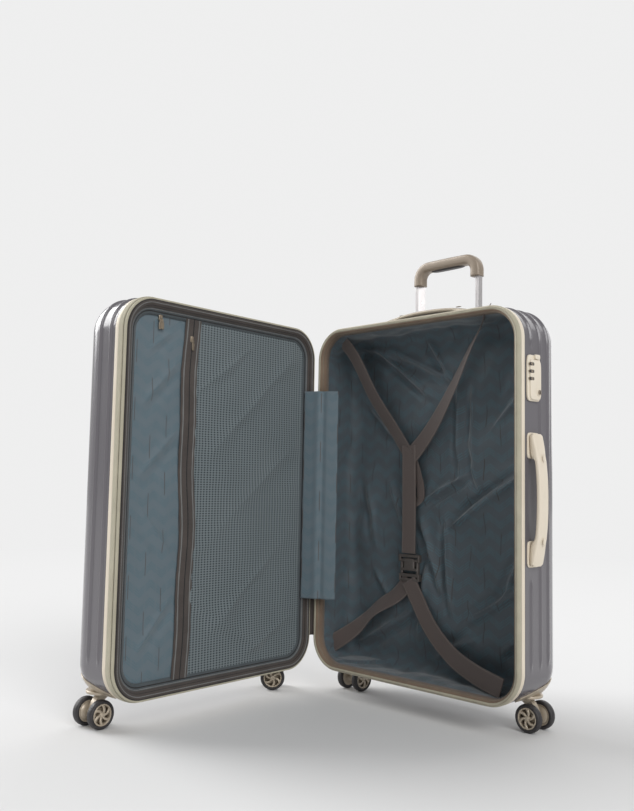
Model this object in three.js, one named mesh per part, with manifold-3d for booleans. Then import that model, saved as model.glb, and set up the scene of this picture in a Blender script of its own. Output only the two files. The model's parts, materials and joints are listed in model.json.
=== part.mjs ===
// Hard shell spinner suitcase, standing open like a book on its four casters.
// Millimetres, +Z up.  Each half is built in its own closed position: X runs across the face
// from the hinge, Y runs from the mouth plane into the half, and Z runs up from the floor.
import * as THREE from 'three';
import { mergeVertices } from 'three/addons/utils/BufferGeometryUtils.js';
import Module from 'manifold-3d';

const wasm = await Module();
wasm.setup();

// ---- Driving dimensions ----
const CASE_WIDTH = 500;
const CASE_HEIGHT = 700;
const OPEN_ANGLE = 84;               // degrees between the two mouth planes as it stands
const HINGE_GAP = 4;                 // hinge axis to each half's side wall
const CORNER_RADIUS = 62;            // corners of the face
const EDGE_RADIUS = 48;              // rounded edge between the side walls and the broad wall
const SHELL_WALL = 2.6;
const GAP = 0.3;                     // between pieces that are fixed face to face
const RUNNING_GAP = 0.5;             // between pieces that slide or turn
const CORNER_STEPS = 6;
const EDGE_STEPS = 4;

const BACK_DEPTH = 145;
const LID_DEPTH = 126;
const MOUTH_GAP = 1.6;               // mouth plane to each half's foremost trim

const ZIP_TAPE_DEPTH = 9;
const BACK_BAND_DEPTH = 12;
const LID_TAPE_DEPTH = 6;
const LID_EXPANDER_DEPTH = 11;
const LID_BAND_DEPTH = 12;
const BAND_PROUD = 1.2;              // trim stands this far out of the shell's surface
const BAND_THICKNESS = 9;
const LID_TAPE_THICKNESS = 13;

const LINING_WALL = 1.6;
const LINING_INSET = 8;              // shell's outer surface to the lining, all round
const LINING_BEHIND = 39;            // lining to the outside of the broad wall

const TROLLEY_SPACING = 146;         // between the two tubes' middles
const TROLLEY_BEHIND = 20;           // tubes' middle to the outside of the broad wall
const TUBE_BACK = 16;
const TUBE_FRONT = 8;
const TUBE_DEPTH = 12;
const TUBE_WALL = 1.2;
const TROLLEY_OUT = 94;              // grip's legs above the case as it stands
const SOCKET_FLOOR = 76;             // underside of the shell to the foot of the outer tubes
const SOCKET_SPARE = 8;              // left under the inner tubes when they are pushed in
const BEZEL_THICKNESS = 3;
const BEZEL_MARGIN = 14;
const GRIP_HEIGHT = 48;
const GRIP_BAR = 21;
const GRIP_THICKNESS = 25;
const GRIP_SIDE = 11;                // tube's middle to the grip's outer side
const GRIP_CORNER = 26;
const BUTTON_LENGTH = 84;
const BUTTON_WIDTH = 11;
const BUTTON_TRAVEL = 3;

const HANDLE_LENGTH = 232;
const HANDLE_WIDTH = 38;
const HANDLE_BASE_LENGTH = 32;
const HANDLE_BASE_HEIGHT = 7;
const HANDLE_RISE = 25;
const HANDLE_GRIP_WIDTH = 28;
const HANDLE_GRIP_THICKNESS = 9;
const HANDLE_FOOT = 15;
const HANDLE_DEPTH_PLACE = 47;       // mouth plane to the side handle's middle
const TOP_HANDLE_DEPTH_PLACE = 66;
const SIDE_HANDLE_DROP = 344;        // top of the case to the side handle's middle

const LOCK_HEIGHT = 82;
const LOCK_WIDTH = 40;
const LOCK_THICKNESS = 10;
const LOCK_DROP = 131;               // top of the case to the lock's middle
const LOCK_DEPTH_PLACE = 46;
const DIAL_RADIUS = 6.6;
const DIAL_WIDTH = 4.4;
const DIAL_PITCH = 13;
const KEY_RADIUS = 5;

const WHEEL_RADIUS = 25;
const WHEEL_WIDTH = 14;
const WHEEL_HEADROOM = 7;            // top of the wheels to the housing's pad
const WHEEL_SPACING = 41;
const HUB_RADIUS = 19;
const HUB_WIDTH = 10;
const HUB_SPOKES = 6;
const AXLE_RADIUS = 3;
const AXLE_CLEARANCE = 0.06;
const CASTER_TRAIL = 19;
const CASTER_INSET = 47;             // outer side wall to the swivel axis
const BACK_CASTER_BEHIND = 48;       // swivel axis to the outside of the broad wall
const LID_CASTER_BEHIND = 38;
const WELL_DEPTH = 11;               // the forks turn in wells this deep in the shells
const WELL_RADIUS = 55;
const HOUSING_WALL = 3;
const HOUSING_PAD = 5;               // housing's flat pad under the shell
const SWIVEL_RADIUS = 15;
const SWIVEL_THICKNESS = 4;
const FORK_WIDTH = 12;

const STRAP_WIDTH = 36;
const STRAP_THICKNESS = 1.8;
const BUCKLE_WIDTH = 52;
const BUCKLE_THICKNESS = 11;
const STRAP_MIDDLE = 172;            // across the face, from the hinge
const STRAP_FORK_DROP = 266;         // top of the case to where the upper straps meet
const BUCKLE_BOTTOM = 184;           // above the underside of the shell
const BUCKLE_TONGUE = 21;            // the tongue's bar, and the socket above it
const BUCKLE_SOCKET = 33;
const STRAP_BEHIND = 14;             // strap to the lining behind it
const STRAP_CORNER_DEPTH = 26;

const PANEL_INSET = 25;              // shell's outer surface to the divider panel
const PANEL_DEPTH = 16;
const PANEL_THICKNESS = 3;
const POCKET_THICKNESS = 1.6;
const POCKET_INSET = 14;             // panel's edge to the pocket's
const POCKET_STRIP = 152;            // free side wall to the pocket's zip
const GUSSET_LOW = 140;              // above the underside of the shell
const GUSSET_DROP = 130;             // below the top of the case
const STRIP_LOW = 62;
const STRIP_DROP = 140;

// ---- Worked out from the driving dimensions ----
const caseLeft = HINGE_GAP;
const caseRight = HINGE_GAP + CASE_WIDTH;
const caseMiddle = HINGE_GAP + CASE_WIDTH / 2;
const caseBottom = 2 * WHEEL_RADIUS + WHEEL_HEADROOM + HOUSING_PAD - WELL_DEPTH;
const wellRoof = caseBottom + WELL_DEPTH;
const caseTop = caseBottom + CASE_HEIGHT;
const trolleyPlane = BACK_DEPTH - TROLLEY_BEHIND;
const liningDepth = BACK_DEPTH - LINING_BEHIND;
const strapDepth = liningDepth - STRAP_BEHIND;
const strapMeet = CASE_HEIGHT - STRAP_FORK_DROP;
const buckleSplit = BUCKLE_BOTTOM + BUCKLE_TONGUE;
const buckleTop = buckleSplit + BUCKLE_SOCKET;
const backCasterDepth = BACK_DEPTH - BACK_CASTER_BEHIND;
const lidCasterDepth = LID_DEPTH - LID_CASTER_BEHIND;
const pocketEdge = caseRight - POCKET_STRIP;
const backShellFront = MOUTH_GAP + ZIP_TAPE_DEPTH + BACK_BAND_DEPTH + 2 * GAP;
const lidShellFront = MOUTH_GAP + LID_TAPE_DEPTH + LID_EXPANDER_DEPTH + LID_BAND_DEPTH + 3 * GAP;
const openTurn = THREE.MathUtils.degToRad(OPEN_ANGLE);

// ---- Solids ----

// Turns a geometry into a solid that can be joined or cut.
function toSolid(geometry) {
  const bare = geometry.clone();
  bare.deleteAttribute('normal');
  bare.deleteAttribute('uv');
  const merged = mergeVertices(bare, 1e-3);
  return new wasm.Manifold(new wasm.Mesh({
    numProp: 3,
    vertProperties: merged.attributes.position.array,
    triVerts: new Uint32Array(merged.index.array),
  }));
}

function toGeometry(solid) {
  const { vertProperties, triVerts } = solid.getMesh();
  const geometry = new THREE.BufferGeometry();
  geometry.setAttribute('position', new THREE.BufferAttribute(vertProperties, 3));
  geometry.setIndex(new THREE.BufferAttribute(triVerts, 1));
  return geometry;
}

const join = (...geometries) => toGeometry(geometries.map(toSolid).reduce((a, b) => a.add(b)));
const cut = (geometry, ...tools) =>
  toGeometry(tools.map(toSolid).reduce((a, b) => a.subtract(b), toSolid(geometry)));
const overlapOf = (a, b) => toGeometry(toSolid(a).intersect(toSolid(b)));

// Six times the volume inside a closed set of triangles, negative when they face inwards.
function signedVolume(points, index) {
  let sum = 0;
  for (let i = 0; i < index.length; i += 3) {
    const [a, b, c] = [points[index[i]], points[index[i + 1]], points[index[i + 2]]];
    sum += a.dot(new THREE.Vector3().crossVectors(b, c));
  }
  return sum;
}

// Joins rings of points, all with the same count, into one closed solid with flat ends.
function loft(rings) {
  const count = rings[0].length;
  const points = rings.flat();
  const positions = points.flatMap((p) => [p.x, p.y, p.z]);
  const index = [];
  for (let i = 0; i + 1 < rings.length; i++) {
    for (let j = 0; j < count; j++) {
      const a = i * count + j;
      const b = i * count + (j + 1) % count;
      index.push(a, a + count, b, b, a + count, b + count);
    }
  }
  const last = (rings.length - 1) * count;
  for (let j = 1; j + 1 < count; j++) {
    index.push(0, j, j + 1);
    index.push(last, last + j + 1, last + j);
  }
  if (signedVolume(points, index) < 0) index.reverse();
  const geometry = new THREE.BufferGeometry();
  geometry.setAttribute('position', new THREE.Float32BufferAttribute(positions, 3));
  geometry.setIndex(index);
  return geometry;
}

const box = (x0, x1, y0, y1, z0, z1) =>
  new THREE.BoxGeometry(x1 - x0, y1 - y0, z1 - z0)
    .translate((x0 + x1) / 2, (y0 + y1) / 2, (z0 + z1) / 2);

// Corner points of a rectangle with round corners, counter-clockwise.
function roundedRectangle(x0, x1, y0, y1, radius, steps = CORNER_STEPS) {
  const centres = [
    [x1 - radius, y0 + radius, -90], [x1 - radius, y1 - radius, 0],
    [x0 + radius, y1 - radius, 90], [x0 + radius, y0 + radius, 180],
  ];
  return centres.flatMap(([x, y, start]) =>
    Array.from({ length: steps + 1 }, (_, i) => {
      const angle = THREE.MathUtils.degToRad(start + (90 * i) / steps);
      return new THREE.Vector2(x + radius * Math.cos(angle), y + radius * Math.sin(angle));
    }));
}

// The outline of the case's face, moved in by an inset.
function caseOutline(inset) {
  return roundedRectangle(caseLeft + inset, caseRight - inset, caseBottom + inset,
    caseTop - inset, Math.max(CORNER_RADIUS - inset, 8));
}

// A block with the case's outline and a rounded edge at its far side.
function caseBlock(inset, front, back) {
  const edge = EDGE_RADIUS - inset;
  const ring = (extra, y) => caseOutline(inset + extra).map((p) => new THREE.Vector3(p.x, y, p.y));
  const rings = [ring(0, front)];
  for (let i = 0; i <= EDGE_STEPS; i++) {
    const angle = (Math.PI / 2) * (i / EDGE_STEPS);
    rings.push(ring(edge * (1 - Math.cos(angle)), back - inset - edge * (1 - Math.sin(angle))));
  }
  return loft(rings);
}

// Stands a flat shape, drawn in X and Z, up between two depths.
function upright(shape, y0, y1, bevel = 0) {
  return new THREE.ExtrudeGeometry(shape, {
    depth: y1 - y0 - 2 * bevel, bevelEnabled: bevel > 0, bevelThickness: bevel,
    bevelSize: bevel, bevelOffset: -bevel, bevelSegments: 2, curveSegments: 5,
  }).rotateX(Math.PI / 2).translate(0, y1 - bevel, 0);
}

// A frame that follows the case's outline.
function caseFrame(outerInset, innerInset, y0, y1) {
  const shape = new THREE.Shape(caseOutline(outerInset));
  shape.holes.push(new THREE.Path(caseOutline(innerInset)));
  return upright(shape, y0, y1);
}

// A flat strip of even width through a row of points; side is the direction of its width.
function ribbon(points, sides, width, thickness) {
  const rings = points.map((point, i) => {
    const ahead = points[Math.min(i + 1, points.length - 1)];
    const behind = points[Math.max(i - 1, 0)];
    const along = new THREE.Vector3().subVectors(ahead, behind).normalize();
    const side = sides[i].clone().addScaledVector(along, -sides[i].dot(along)).normalize();
    const face = new THREE.Vector3().crossVectors(along, side);
    return [[-1, -1], [1, -1], [1, 1], [-1, 1]].map(([u, v]) => point.clone()
      .addScaledVector(side, (u * width) / 2).addScaledVector(face, (v * thickness) / 2));
  });
  return loft(rings);
}

// ---- Materials ----

const material = (color, roughness, metalness = 0) =>
  new THREE.MeshStandardMaterial({ color, roughness, metalness });
const graphite = () => material(0x6f6a72, 0.32, 0.1);
const cream = () => material(0xd9cbb6, 0.6);
const beige = () => material(0xb9b09a, 0.8);
const taupe = () => material(0x5d5149, 0.85);
const champagne = () => material(0xb5a68f, 0.4, 0.3);
const gripBrown = () => material(0x978678, 0.5);
const liningBlue = () => material(0x4b626d, 0.9);
const meshBlue = () => material(0x5c6f78, 0.9);
const strapBrown = () => material(0x574a47, 0.85);
const aluminium = () => material(0xc4bfc0, 0.3, 0.9);
const tyreBlack = () => material(0x333134, 0.7);
const darkPlastic = () => material(0x3b3636, 0.5);

function mesh(name, geometry, surface) {
  const made = new THREE.Mesh(geometry, surface);
  made.name = name;
  return made;
}

// ---- Shells and trim ----

// The wells that the casters turn in, grown by a margin.
function casterWells(casterDepth, margin) {
  return [caseLeft + CASTER_INSET, caseRight - CASTER_INSET].map((x) =>
    postAlongZ(WELL_RADIUS + margin, caseBottom - 20, wellRoof + margin, x, casterDepth, 40));
}

function shellSolid(front, depth, casterDepth) {
  const outside = cut(caseBlock(0, front, depth), ...casterWells(casterDepth, 0));
  const cavity = cut(caseBlock(SHELL_WALL, front - 1, depth),
    ...casterWells(casterDepth, SHELL_WALL));
  return cut(outside, cavity);
}

function lining() {
  const front = MOUTH_GAP + ZIP_TAPE_DEPTH + GAP;
  const outer = LINING_INSET;
  const inner = outer + LINING_WALL;
  const radius = (inset) => CORNER_RADIUS - inset;
  const tray = (inset, y0, y1) => {
    const outline = roundedRectangle(caseLeft + inset, caseRight - inset, caseBottom + inset,
      caseTop - inset, radius(inset));
    const soft = roundedRectangle(caseLeft + inset + 8, caseRight - inset - 8,
      caseBottom + inset + 8, caseTop - inset - 8, radius(inset) - 8);
    return loft([
      outline.map((p) => new THREE.Vector3(p.x, y0, p.y)),
      outline.map((p) => new THREE.Vector3(p.x, y1 - 20, p.y)),
      soft.map((p) => new THREE.Vector3(p.x, y1, p.y)),
    ]);
  };
  const start = front + BACK_BAND_DEPTH;
  const over = SHELL_WALL + 2;
  return cut(
    cut(tray(outer + 2, start, liningDepth), ...casterWells(backCasterDepth, over)),
    cut(tray(inner + 2, start - 1, liningDepth - LINING_WALL),
      ...casterWells(backCasterDepth, over + LINING_WALL)),
  );
}

// ---- Trolley handle ----

// A tube's section: a right trapezoid whose sloping side faces the other tube.
function tubeSection(side, grow) {
  const half = TUBE_DEPTH / 2 + grow;
  const outer = -TUBE_BACK / 2 - grow;
  const slope = (TUBE_BACK - TUBE_FRONT) / TUBE_DEPTH;
  const slant = grow * (Math.hypot(1, slope) - slope);
  const front = TUBE_FRONT - TUBE_BACK / 2 + slant;
  const points = [
    [outer, -half], [front, -half], [front + slope * 2 * half, half], [outer, half],
  ];
  return points.map(([x, y]) => new THREE.Vector2(side * x, y));
}

function tubeSolid(side, grow, wall, z0, z1) {
  const ordered = (points) => (side > 0 ? points : points.slice().reverse());
  const shape = new THREE.Shape(ordered(tubeSection(side, grow)));
  if (wall > 0) shape.holes.push(new THREE.Path(ordered(tubeSection(side, grow - wall))));
  return new THREE.ExtrudeGeometry(shape, { depth: z1 - z0, bevelEnabled: false })
    .translate(caseMiddle - (side * TROLLEY_SPACING) / 2, trolleyPlane, z0);
}

function trolleyPieces() {
  const pieces = { fixed: [], sliding: [], button: [] };
  const legBottom = caseTop + TROLLEY_OUT;
  const socketTop = caseTop - EDGE_RADIUS / 2;
  const socketFoot = caseBottom + SOCKET_FLOOR;
  const pushedIn = TROLLEY_OUT - BEZEL_THICKNESS - 2 * RUNNING_GAP;
  const innerFoot = socketFoot + SOCKET_SPARE + pushedIn;
  [1, -1].forEach((side, i) => {
    pieces.fixed.push(mesh(`trolley_outer_tube_${i + 1}`,
      tubeSolid(side, RUNNING_GAP + TUBE_WALL, TUBE_WALL, socketFoot, socketTop),
      aluminium()));
    pieces.sliding.push(mesh(`trolley_inner_tube_${i + 1}`,
      tubeSolid(side, 0, TUBE_WALL, innerFoot, legBottom - GAP),
      aluminium()));
  });
  const halfLength = TROLLEY_SPACING / 2 + BEZEL_MARGIN + TUBE_BACK / 2;
  const bezelBlock = new THREE.ExtrudeGeometry(
    new THREE.Shape(roundedRectangle(-halfLength, halfLength, -12, 12, 11, 3)),
    { depth: BEZEL_THICKNESS + EDGE_RADIUS, bevelEnabled: false },
  ).translate(caseMiddle, trolleyPlane - 1, caseTop - EDGE_RADIUS);
  const under = caseBlock(-GAP, backShellFront, BACK_DEPTH);
  pieces.fixed.push(mesh('trolley_bezel', cut(bezelBlock, under, ...trolleyHoles()), champagne()));
  pieces.sliding.push(mesh('trolley_grip', trolleyGrip(legBottom), gripBrown()));
  pieces.button.push(mesh('trolley_button', gripButton(legBottom), darkPlastic()));
  return pieces;
}

const gripHalf = TROLLEY_SPACING / 2 + GRIP_SIDE;
const gripLeg = 2 * GRIP_SIDE;
const gripUnderside = GRIP_HEIGHT - GRIP_BAR;

function trolleyHoles() {
  return [1, -1].map((side) => tubeSolid(side, RUNNING_GAP, 0, caseTop - 30, caseTop + 20));
}

// The U-shaped grip: a crowned bar with round corners and two short legs.
function trolleyGrip(legBottom) {
  const shape = new THREE.Shape();
  const inside = gripHalf - gripLeg;
  shape.moveTo(gripHalf - 1, 0);
  shape.lineTo(gripHalf, GRIP_HEIGHT - GRIP_CORNER - 3);
  shape.quadraticCurveTo(gripHalf - 1, GRIP_HEIGHT - 2, gripHalf - GRIP_CORNER, GRIP_HEIGHT);
  shape.lineTo(-gripHalf + GRIP_CORNER, GRIP_HEIGHT);
  shape.quadraticCurveTo(-gripHalf + 1, GRIP_HEIGHT - 2, -gripHalf, GRIP_HEIGHT - GRIP_CORNER - 3);
  shape.lineTo(-gripHalf + 1, 0);
  shape.lineTo(-inside - 1, 0);
  shape.lineTo(-inside, gripUnderside - 12);
  shape.quadraticCurveTo(-inside, gripUnderside, -inside + 12, gripUnderside);
  shape.lineTo(inside - 12, gripUnderside);
  shape.quadraticCurveTo(inside, gripUnderside, inside, gripUnderside - 12);
  shape.lineTo(inside + 1, 0);
  const grip = upright(shape, -GRIP_THICKNESS / 2, GRIP_THICKNESS / 2, 5)
    .translate(caseMiddle, trolleyPlane, legBottom);
  const pocket = box(-BUTTON_LENGTH / 2, BUTTON_LENGTH / 2, -BUTTON_WIDTH / 2, BUTTON_WIDTH / 2,
    gripUnderside - 5, gripUnderside + 5 + BUTTON_TRAVEL)
    .translate(caseMiddle, trolleyPlane, legBottom);
  return cut(grip, pocket);
}

function gripButton(legBottom) {
  const half = BUTTON_LENGTH / 2 - RUNNING_GAP;
  const width = BUTTON_WIDTH / 2 - RUNNING_GAP;
  return box(-half, half, -width, width, gripUnderside - 2.5, gripUnderside + 4)
    .translate(caseMiddle, trolleyPlane, legBottom);
}

// ---- Carry handles ----
// A handle lies along its own X, stands up along its own Y and is as wide as its own Z.

const footMiddle = HANDLE_LENGTH / 2 - HANDLE_BASE_LENGTH / 2;

function handleBase(side) {
  const middle = side * footMiddle;
  const half = HANDLE_BASE_LENGTH / 2;
  const plate = new THREE.ExtrudeGeometry(
    new THREE.Shape(roundedRectangle(-half, half, -HANDLE_WIDTH / 2, HANDLE_WIDTH / 2, 7, 3)),
    { depth: HANDLE_BASE_HEIGHT - 3, bevelEnabled: true, bevelThickness: 1.5, bevelSize: 1.5,
      bevelOffset: -1.5, bevelSegments: 2 },
  ).translate(middle, 0, 1.5).rotateX(-Math.PI / 2);
  const foot = HANDLE_FOOT / 2 + RUNNING_GAP;
  const width = HANDLE_GRIP_WIDTH / 2 + RUNNING_GAP;
  return cut(plate, box(middle - foot, middle + foot, 1.8, HANDLE_BASE_HEIGHT + 5, -width, width));
}

// The top handle's two bases are one moulding, linked by a thin plate.
function topHandleBase() {
  const link = box(-footMiddle, footMiddle, 0, 2, -HANDLE_WIDTH / 2 + 5, HANDLE_WIDTH / 2 - 5);
  return join(handleBase(1), handleBase(-1), cut(link, ...[1, -1].map((side) =>
    box(side * footMiddle - 12, side * footMiddle + 12, 1.5, 20, -30, 30))));
}

function handleGrip() {
  const foot = HANDLE_FOOT / 2;
  const top = HANDLE_RISE;
  const under = HANDLE_RISE - HANDLE_GRIP_THICKNESS;
  const shape = new THREE.Shape();
  shape.moveTo(-footMiddle - foot, 2.2);
  shape.lineTo(-footMiddle - foot, 12);
  shape.quadraticCurveTo(-footMiddle - foot, 17, -footMiddle + foot, 19);
  shape.quadraticCurveTo(-footMiddle / 2, top, 0, top);
  shape.quadraticCurveTo(footMiddle / 2, top, footMiddle - foot, 19);
  shape.quadraticCurveTo(footMiddle + foot, 17, footMiddle + foot, 12);
  shape.lineTo(footMiddle + foot, 2.2);
  shape.lineTo(footMiddle - foot, 2.2);
  shape.lineTo(footMiddle - foot, 7);
  shape.quadraticCurveTo(footMiddle / 2, under, 0, under);
  shape.quadraticCurveTo(-footMiddle / 2, under, -footMiddle + foot, 7);
  shape.lineTo(-footMiddle + foot, 2.2);
  const bevel = 2;
  return new THREE.ExtrudeGeometry(shape, {
    depth: HANDLE_GRIP_WIDTH - 2 * bevel, bevelEnabled: true, bevelThickness: bevel,
    bevelSize: bevel, bevelOffset: -bevel, bevelSegments: 2, curveSegments: 4,
  }).translate(0, 0, -HANDLE_GRIP_WIDTH / 2 + bevel);
}

// Puts a handle on the free side wall, or on the top.
const onSide = (geometry) => geometry.clone().rotateX(Math.PI / 2).rotateY(Math.PI / 2)
  .translate(caseRight + GAP, HANDLE_DEPTH_PLACE, caseTop - SIDE_HANDLE_DROP);
const onTop = (geometry) => geometry.clone().rotateX(Math.PI / 2)
  .translate(caseMiddle, TOP_HANDLE_DEPTH_PLACE, caseTop + GAP);

// ---- Lock ----

const lockMiddle = () => new THREE.Vector3(caseRight, LOCK_DEPTH_PLACE, caseTop - LOCK_DROP);
const dialHeight = (i) => lockMiddle().z + 24 - i * DIAL_PITCH;
const dialDepth = LOCK_DEPTH_PLACE - LOCK_WIDTH / 2 + DIAL_RADIUS + 1;
const dialOut = caseRight + LOCK_THICKNESS - DIAL_RADIUS - 0.4;
const keyHeight = () => lockMiddle().z - 25;
const keyDepth = LOCK_DEPTH_PLACE + 8;

function postAlongX(radius, x0, x1, y, z, sides = 20) {
  return new THREE.CylinderGeometry(radius, radius, x1 - x0, sides)
    .rotateZ(Math.PI / 2).translate((x0 + x1) / 2, y, z);
}

function postAlongZ(radius, z0, z1, x, y, sides = 20) {
  return new THREE.CylinderGeometry(radius, radius, z1 - z0, sides)
    .rotateX(Math.PI / 2).translate(x, y, (z0 + z1) / 2);
}

function lockBody() {
  const middle = lockMiddle();
  const outline = roundedRectangle(-LOCK_WIDTH / 2, LOCK_WIDTH / 2, -LOCK_HEIGHT / 2,
    LOCK_HEIGHT / 2, 7, 3);
  const plate = new THREE.ExtrudeGeometry(new THREE.Shape(outline), {
    depth: LOCK_THICKNESS - 2 - GAP, bevelEnabled: true, bevelThickness: 2, bevelSize: 2,
    bevelOffset: -2, bevelSegments: 2,
  }).rotateX(Math.PI / 2).rotateZ(Math.PI / 2)
    .translate(caseRight + GAP, LOCK_DEPTH_PLACE, middle.z);
  const back = box(caseRight - 30, caseRight + GAP, 0, 200, 0, 2000);
  const windows = [0, 1, 2].map((i) => postAlongZ(DIAL_RADIUS + RUNNING_GAP,
    dialHeight(i) - DIAL_WIDTH / 2 - 0.4, dialHeight(i) + DIAL_WIDTH / 2 + 0.4,
    dialOut, dialDepth, 24));
  const button = box(caseRight + 2.5, caseRight + LOCK_THICKNESS + 5,
    LOCK_DEPTH_PLACE - 2, LOCK_DEPTH_PLACE + 14, middle.z + LOCK_HEIGHT / 2 - 11,
    middle.z + LOCK_HEIGHT / 2 + 5);
  const key = postAlongX(KEY_RADIUS + RUNNING_GAP, caseRight + 3, caseRight + 30, keyDepth,
    keyHeight());
  return cut(plate, back, ...windows, button, key);
}

function lockDial(i) {
  const half = DIAL_WIDTH / 2;
  return postAlongZ(DIAL_RADIUS, dialHeight(i) - half, dialHeight(i) + half, dialOut, dialDepth, 20);
}

function lockButton() {
  const middle = lockMiddle();
  return box(caseRight + 3, caseRight + LOCK_THICKNESS - 1, LOCK_DEPTH_PLACE - 1.5,
    LOCK_DEPTH_PLACE + 13.5, middle.z + LOCK_HEIGHT / 2 - 7, middle.z + LOCK_HEIGHT / 2 + 1);
}

function lockKey() {
  const slot = box(caseRight + 7, caseRight + 30, keyDepth - 0.6, keyDepth + 0.6,
    keyHeight() - 3, keyHeight() + 3);
  return cut(postAlongX(KEY_RADIUS, caseRight + 3.4, caseRight + LOCK_THICKNESS + 1.2, keyDepth,
    keyHeight()), slot);
}

// ---- Casters ----

// The housing lines a well's roof and rises round the shell's corner as a thin skin.
function casterHousing(atHinge, casterDepth, front, depth) {
  const side = atHinge ? caseLeft : caseRight;
  const pivot = side + (atHinge ? 1 : -1) * CASTER_INSET;
  const skin = cut(caseBlock(-HOUSING_WALL, front + 2, depth), caseBlock(-GAP, front, depth));
  const region = new THREE.Shape();
  region.moveTo(casterDepth - WELL_RADIUS, wellRoof - HOUSING_PAD);
  region.lineTo(casterDepth - WELL_RADIUS, wellRoof - HOUSING_PAD + 3);
  region.quadraticCurveTo(casterDepth - 20, wellRoof + 4, casterDepth, wellRoof + 12);
  region.quadraticCurveTo(casterDepth + 20, wellRoof + 19, depth + 10, wellRoof + 22);
  region.lineTo(depth + 10, wellRoof - HOUSING_PAD);
  const reach = CASTER_INSET + 40;
  const wedge = new THREE.ExtrudeGeometry(region, { depth: reach + 10, bevelEnabled: false,
    curveSegments: 4 }).rotateX(Math.PI / 2).rotateZ(Math.PI / 2)
    .translate(atHinge ? side - 10 : side - reach, 0, 0);
  const roof = overlapOf(
    postAlongZ(WELL_RADIUS - GAP, wellRoof - HOUSING_PAD, wellRoof - GAP, pivot, casterDepth, 40),
    caseBlock(-HOUSING_WALL, front + 2, depth),
  );
  return join(overlapOf(skin, wedge), roof);
}

// The fork turns on the housing, and its arm carries the axle between the two wheels.
function casterFork() {
  const top = wellRoof - HOUSING_PAD - RUNNING_GAP;
  const disc = postAlongZ(SWIVEL_RADIUS, top - SWIVEL_THICKNESS, top, 0, 0, 20);
  const arm = new THREE.Shape();
  arm.moveTo(-11, top - 1);
  arm.lineTo(9, top - 1);
  arm.quadraticCurveTo(CASTER_TRAIL + 6, top - 12, CASTER_TRAIL + 8, WHEEL_RADIUS);
  arm.absarc(CASTER_TRAIL, WHEEL_RADIUS, 8, 0, -Math.PI * 0.75, true);
  arm.quadraticCurveTo(CASTER_TRAIL - 2, WHEEL_RADIUS + 14, -11, top - 5);
  const blade = upright(arm, -FORK_WIDTH / 2, FORK_WIDTH / 2);
  const reach = WHEEL_SPACING / 2 + HUB_WIDTH / 2 - 2.5;
  const axle = new THREE.CylinderGeometry(AXLE_RADIUS, AXLE_RADIUS, 2 * reach, 16)
    .translate(CASTER_TRAIL, 0, WHEEL_RADIUS);
  return join(disc, blade, axle);
}

// A hub with swept openings between its spokes and a blind bore from the inner side.
function casterHub() {
  const outer = HUB_RADIUS - GAP;
  const shape = new THREE.Shape();
  shape.absarc(0, 0, outer, 0, 2 * Math.PI, false);
  const pitch = (2 * Math.PI) / HUB_SPOKES;
  for (let i = 0; i < HUB_SPOKES; i++) {
    const at = (radius, angle) =>
      [radius * Math.cos(i * pitch + angle), radius * Math.sin(i * pitch + angle)];
    const opening = new THREE.Path();
    opening.moveTo(...at(outer - 3, 0));
    opening.lineTo(...at(outer - 3, 0.32));
    opening.lineTo(...at(outer - 3, 0.66));
    opening.lineTo(...at(11.5, 0.34));
    opening.lineTo(...at(8, -0.02));
    opening.lineTo(...at(11.5, -0.1));
    shape.holes.push(opening);
  }
  const disc = new THREE.ExtrudeGeometry(shape, { depth: HUB_WIDTH, bevelEnabled: false,
    curveSegments: 26 }).rotateX(Math.PI / 2).translate(0, HUB_WIDTH / 2, 0);
  const bore = new THREE.CylinderGeometry(AXLE_RADIUS + AXLE_CLEARANCE,
    AXLE_RADIUS + AXLE_CLEARANCE, HUB_WIDTH, 16).translate(0, -2, 0);
  return cut(disc, bore);
}

function casterTyre() {
  const half = WHEEL_WIDTH / 2;
  const profile = [
    [HUB_RADIUS, -half + 1], [WHEEL_RADIUS - 2.5, -half], [WHEEL_RADIUS, -half + 3],
    [WHEEL_RADIUS, half - 3], [WHEEL_RADIUS - 2.5, half], [HUB_RADIUS, half - 1],
    [HUB_RADIUS, -half + 1],
  ].map(([r, y]) => new THREE.Vector2(r, y));
  return new THREE.LatheGeometry(profile, 28);
}

// A caster at its swivel axis, turned as it stands; its wheels trail along its own X.
function caster(name, x, y, turn) {
  const group = new THREE.Group();
  group.position.set(x, y, 0);
  group.rotation.z = THREE.MathUtils.degToRad(turn);
  group.add(mesh(`${name}_fork`, casterFork(), champagne()));
  [-1, 1].forEach((side, i) => {
    const wheel = new THREE.Group();
    wheel.position.set(CASTER_TRAIL, (side * WHEEL_SPACING) / 2, WHEEL_RADIUS);
    if (side < 0) wheel.rotation.z = Math.PI;
    wheel.add(mesh(`${name}_hub_${i + 1}`, casterHub(), champagne()));
    wheel.add(mesh(`${name}_tyre_${i + 1}`, casterTyre(), tyreBlack()));
    group.add(wheel);
  });
  return group;
}

// ---- Soft goods ----

const strapPoint = (x, y, z) => new THREE.Vector3(x, y, caseBottom + z);
const across = new THREE.Vector3(1, 0, 0);

// One arm of the cross straps, from a corner of the lining to the middle strap.
function strapArm(corner, end) {
  const away = new THREE.Vector3(end.z - corner.z, 0, corner.x - end.x).normalize();
  return ribbon([corner, end], [away, away], STRAP_WIDTH, STRAP_THICKNESS);
}

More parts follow.
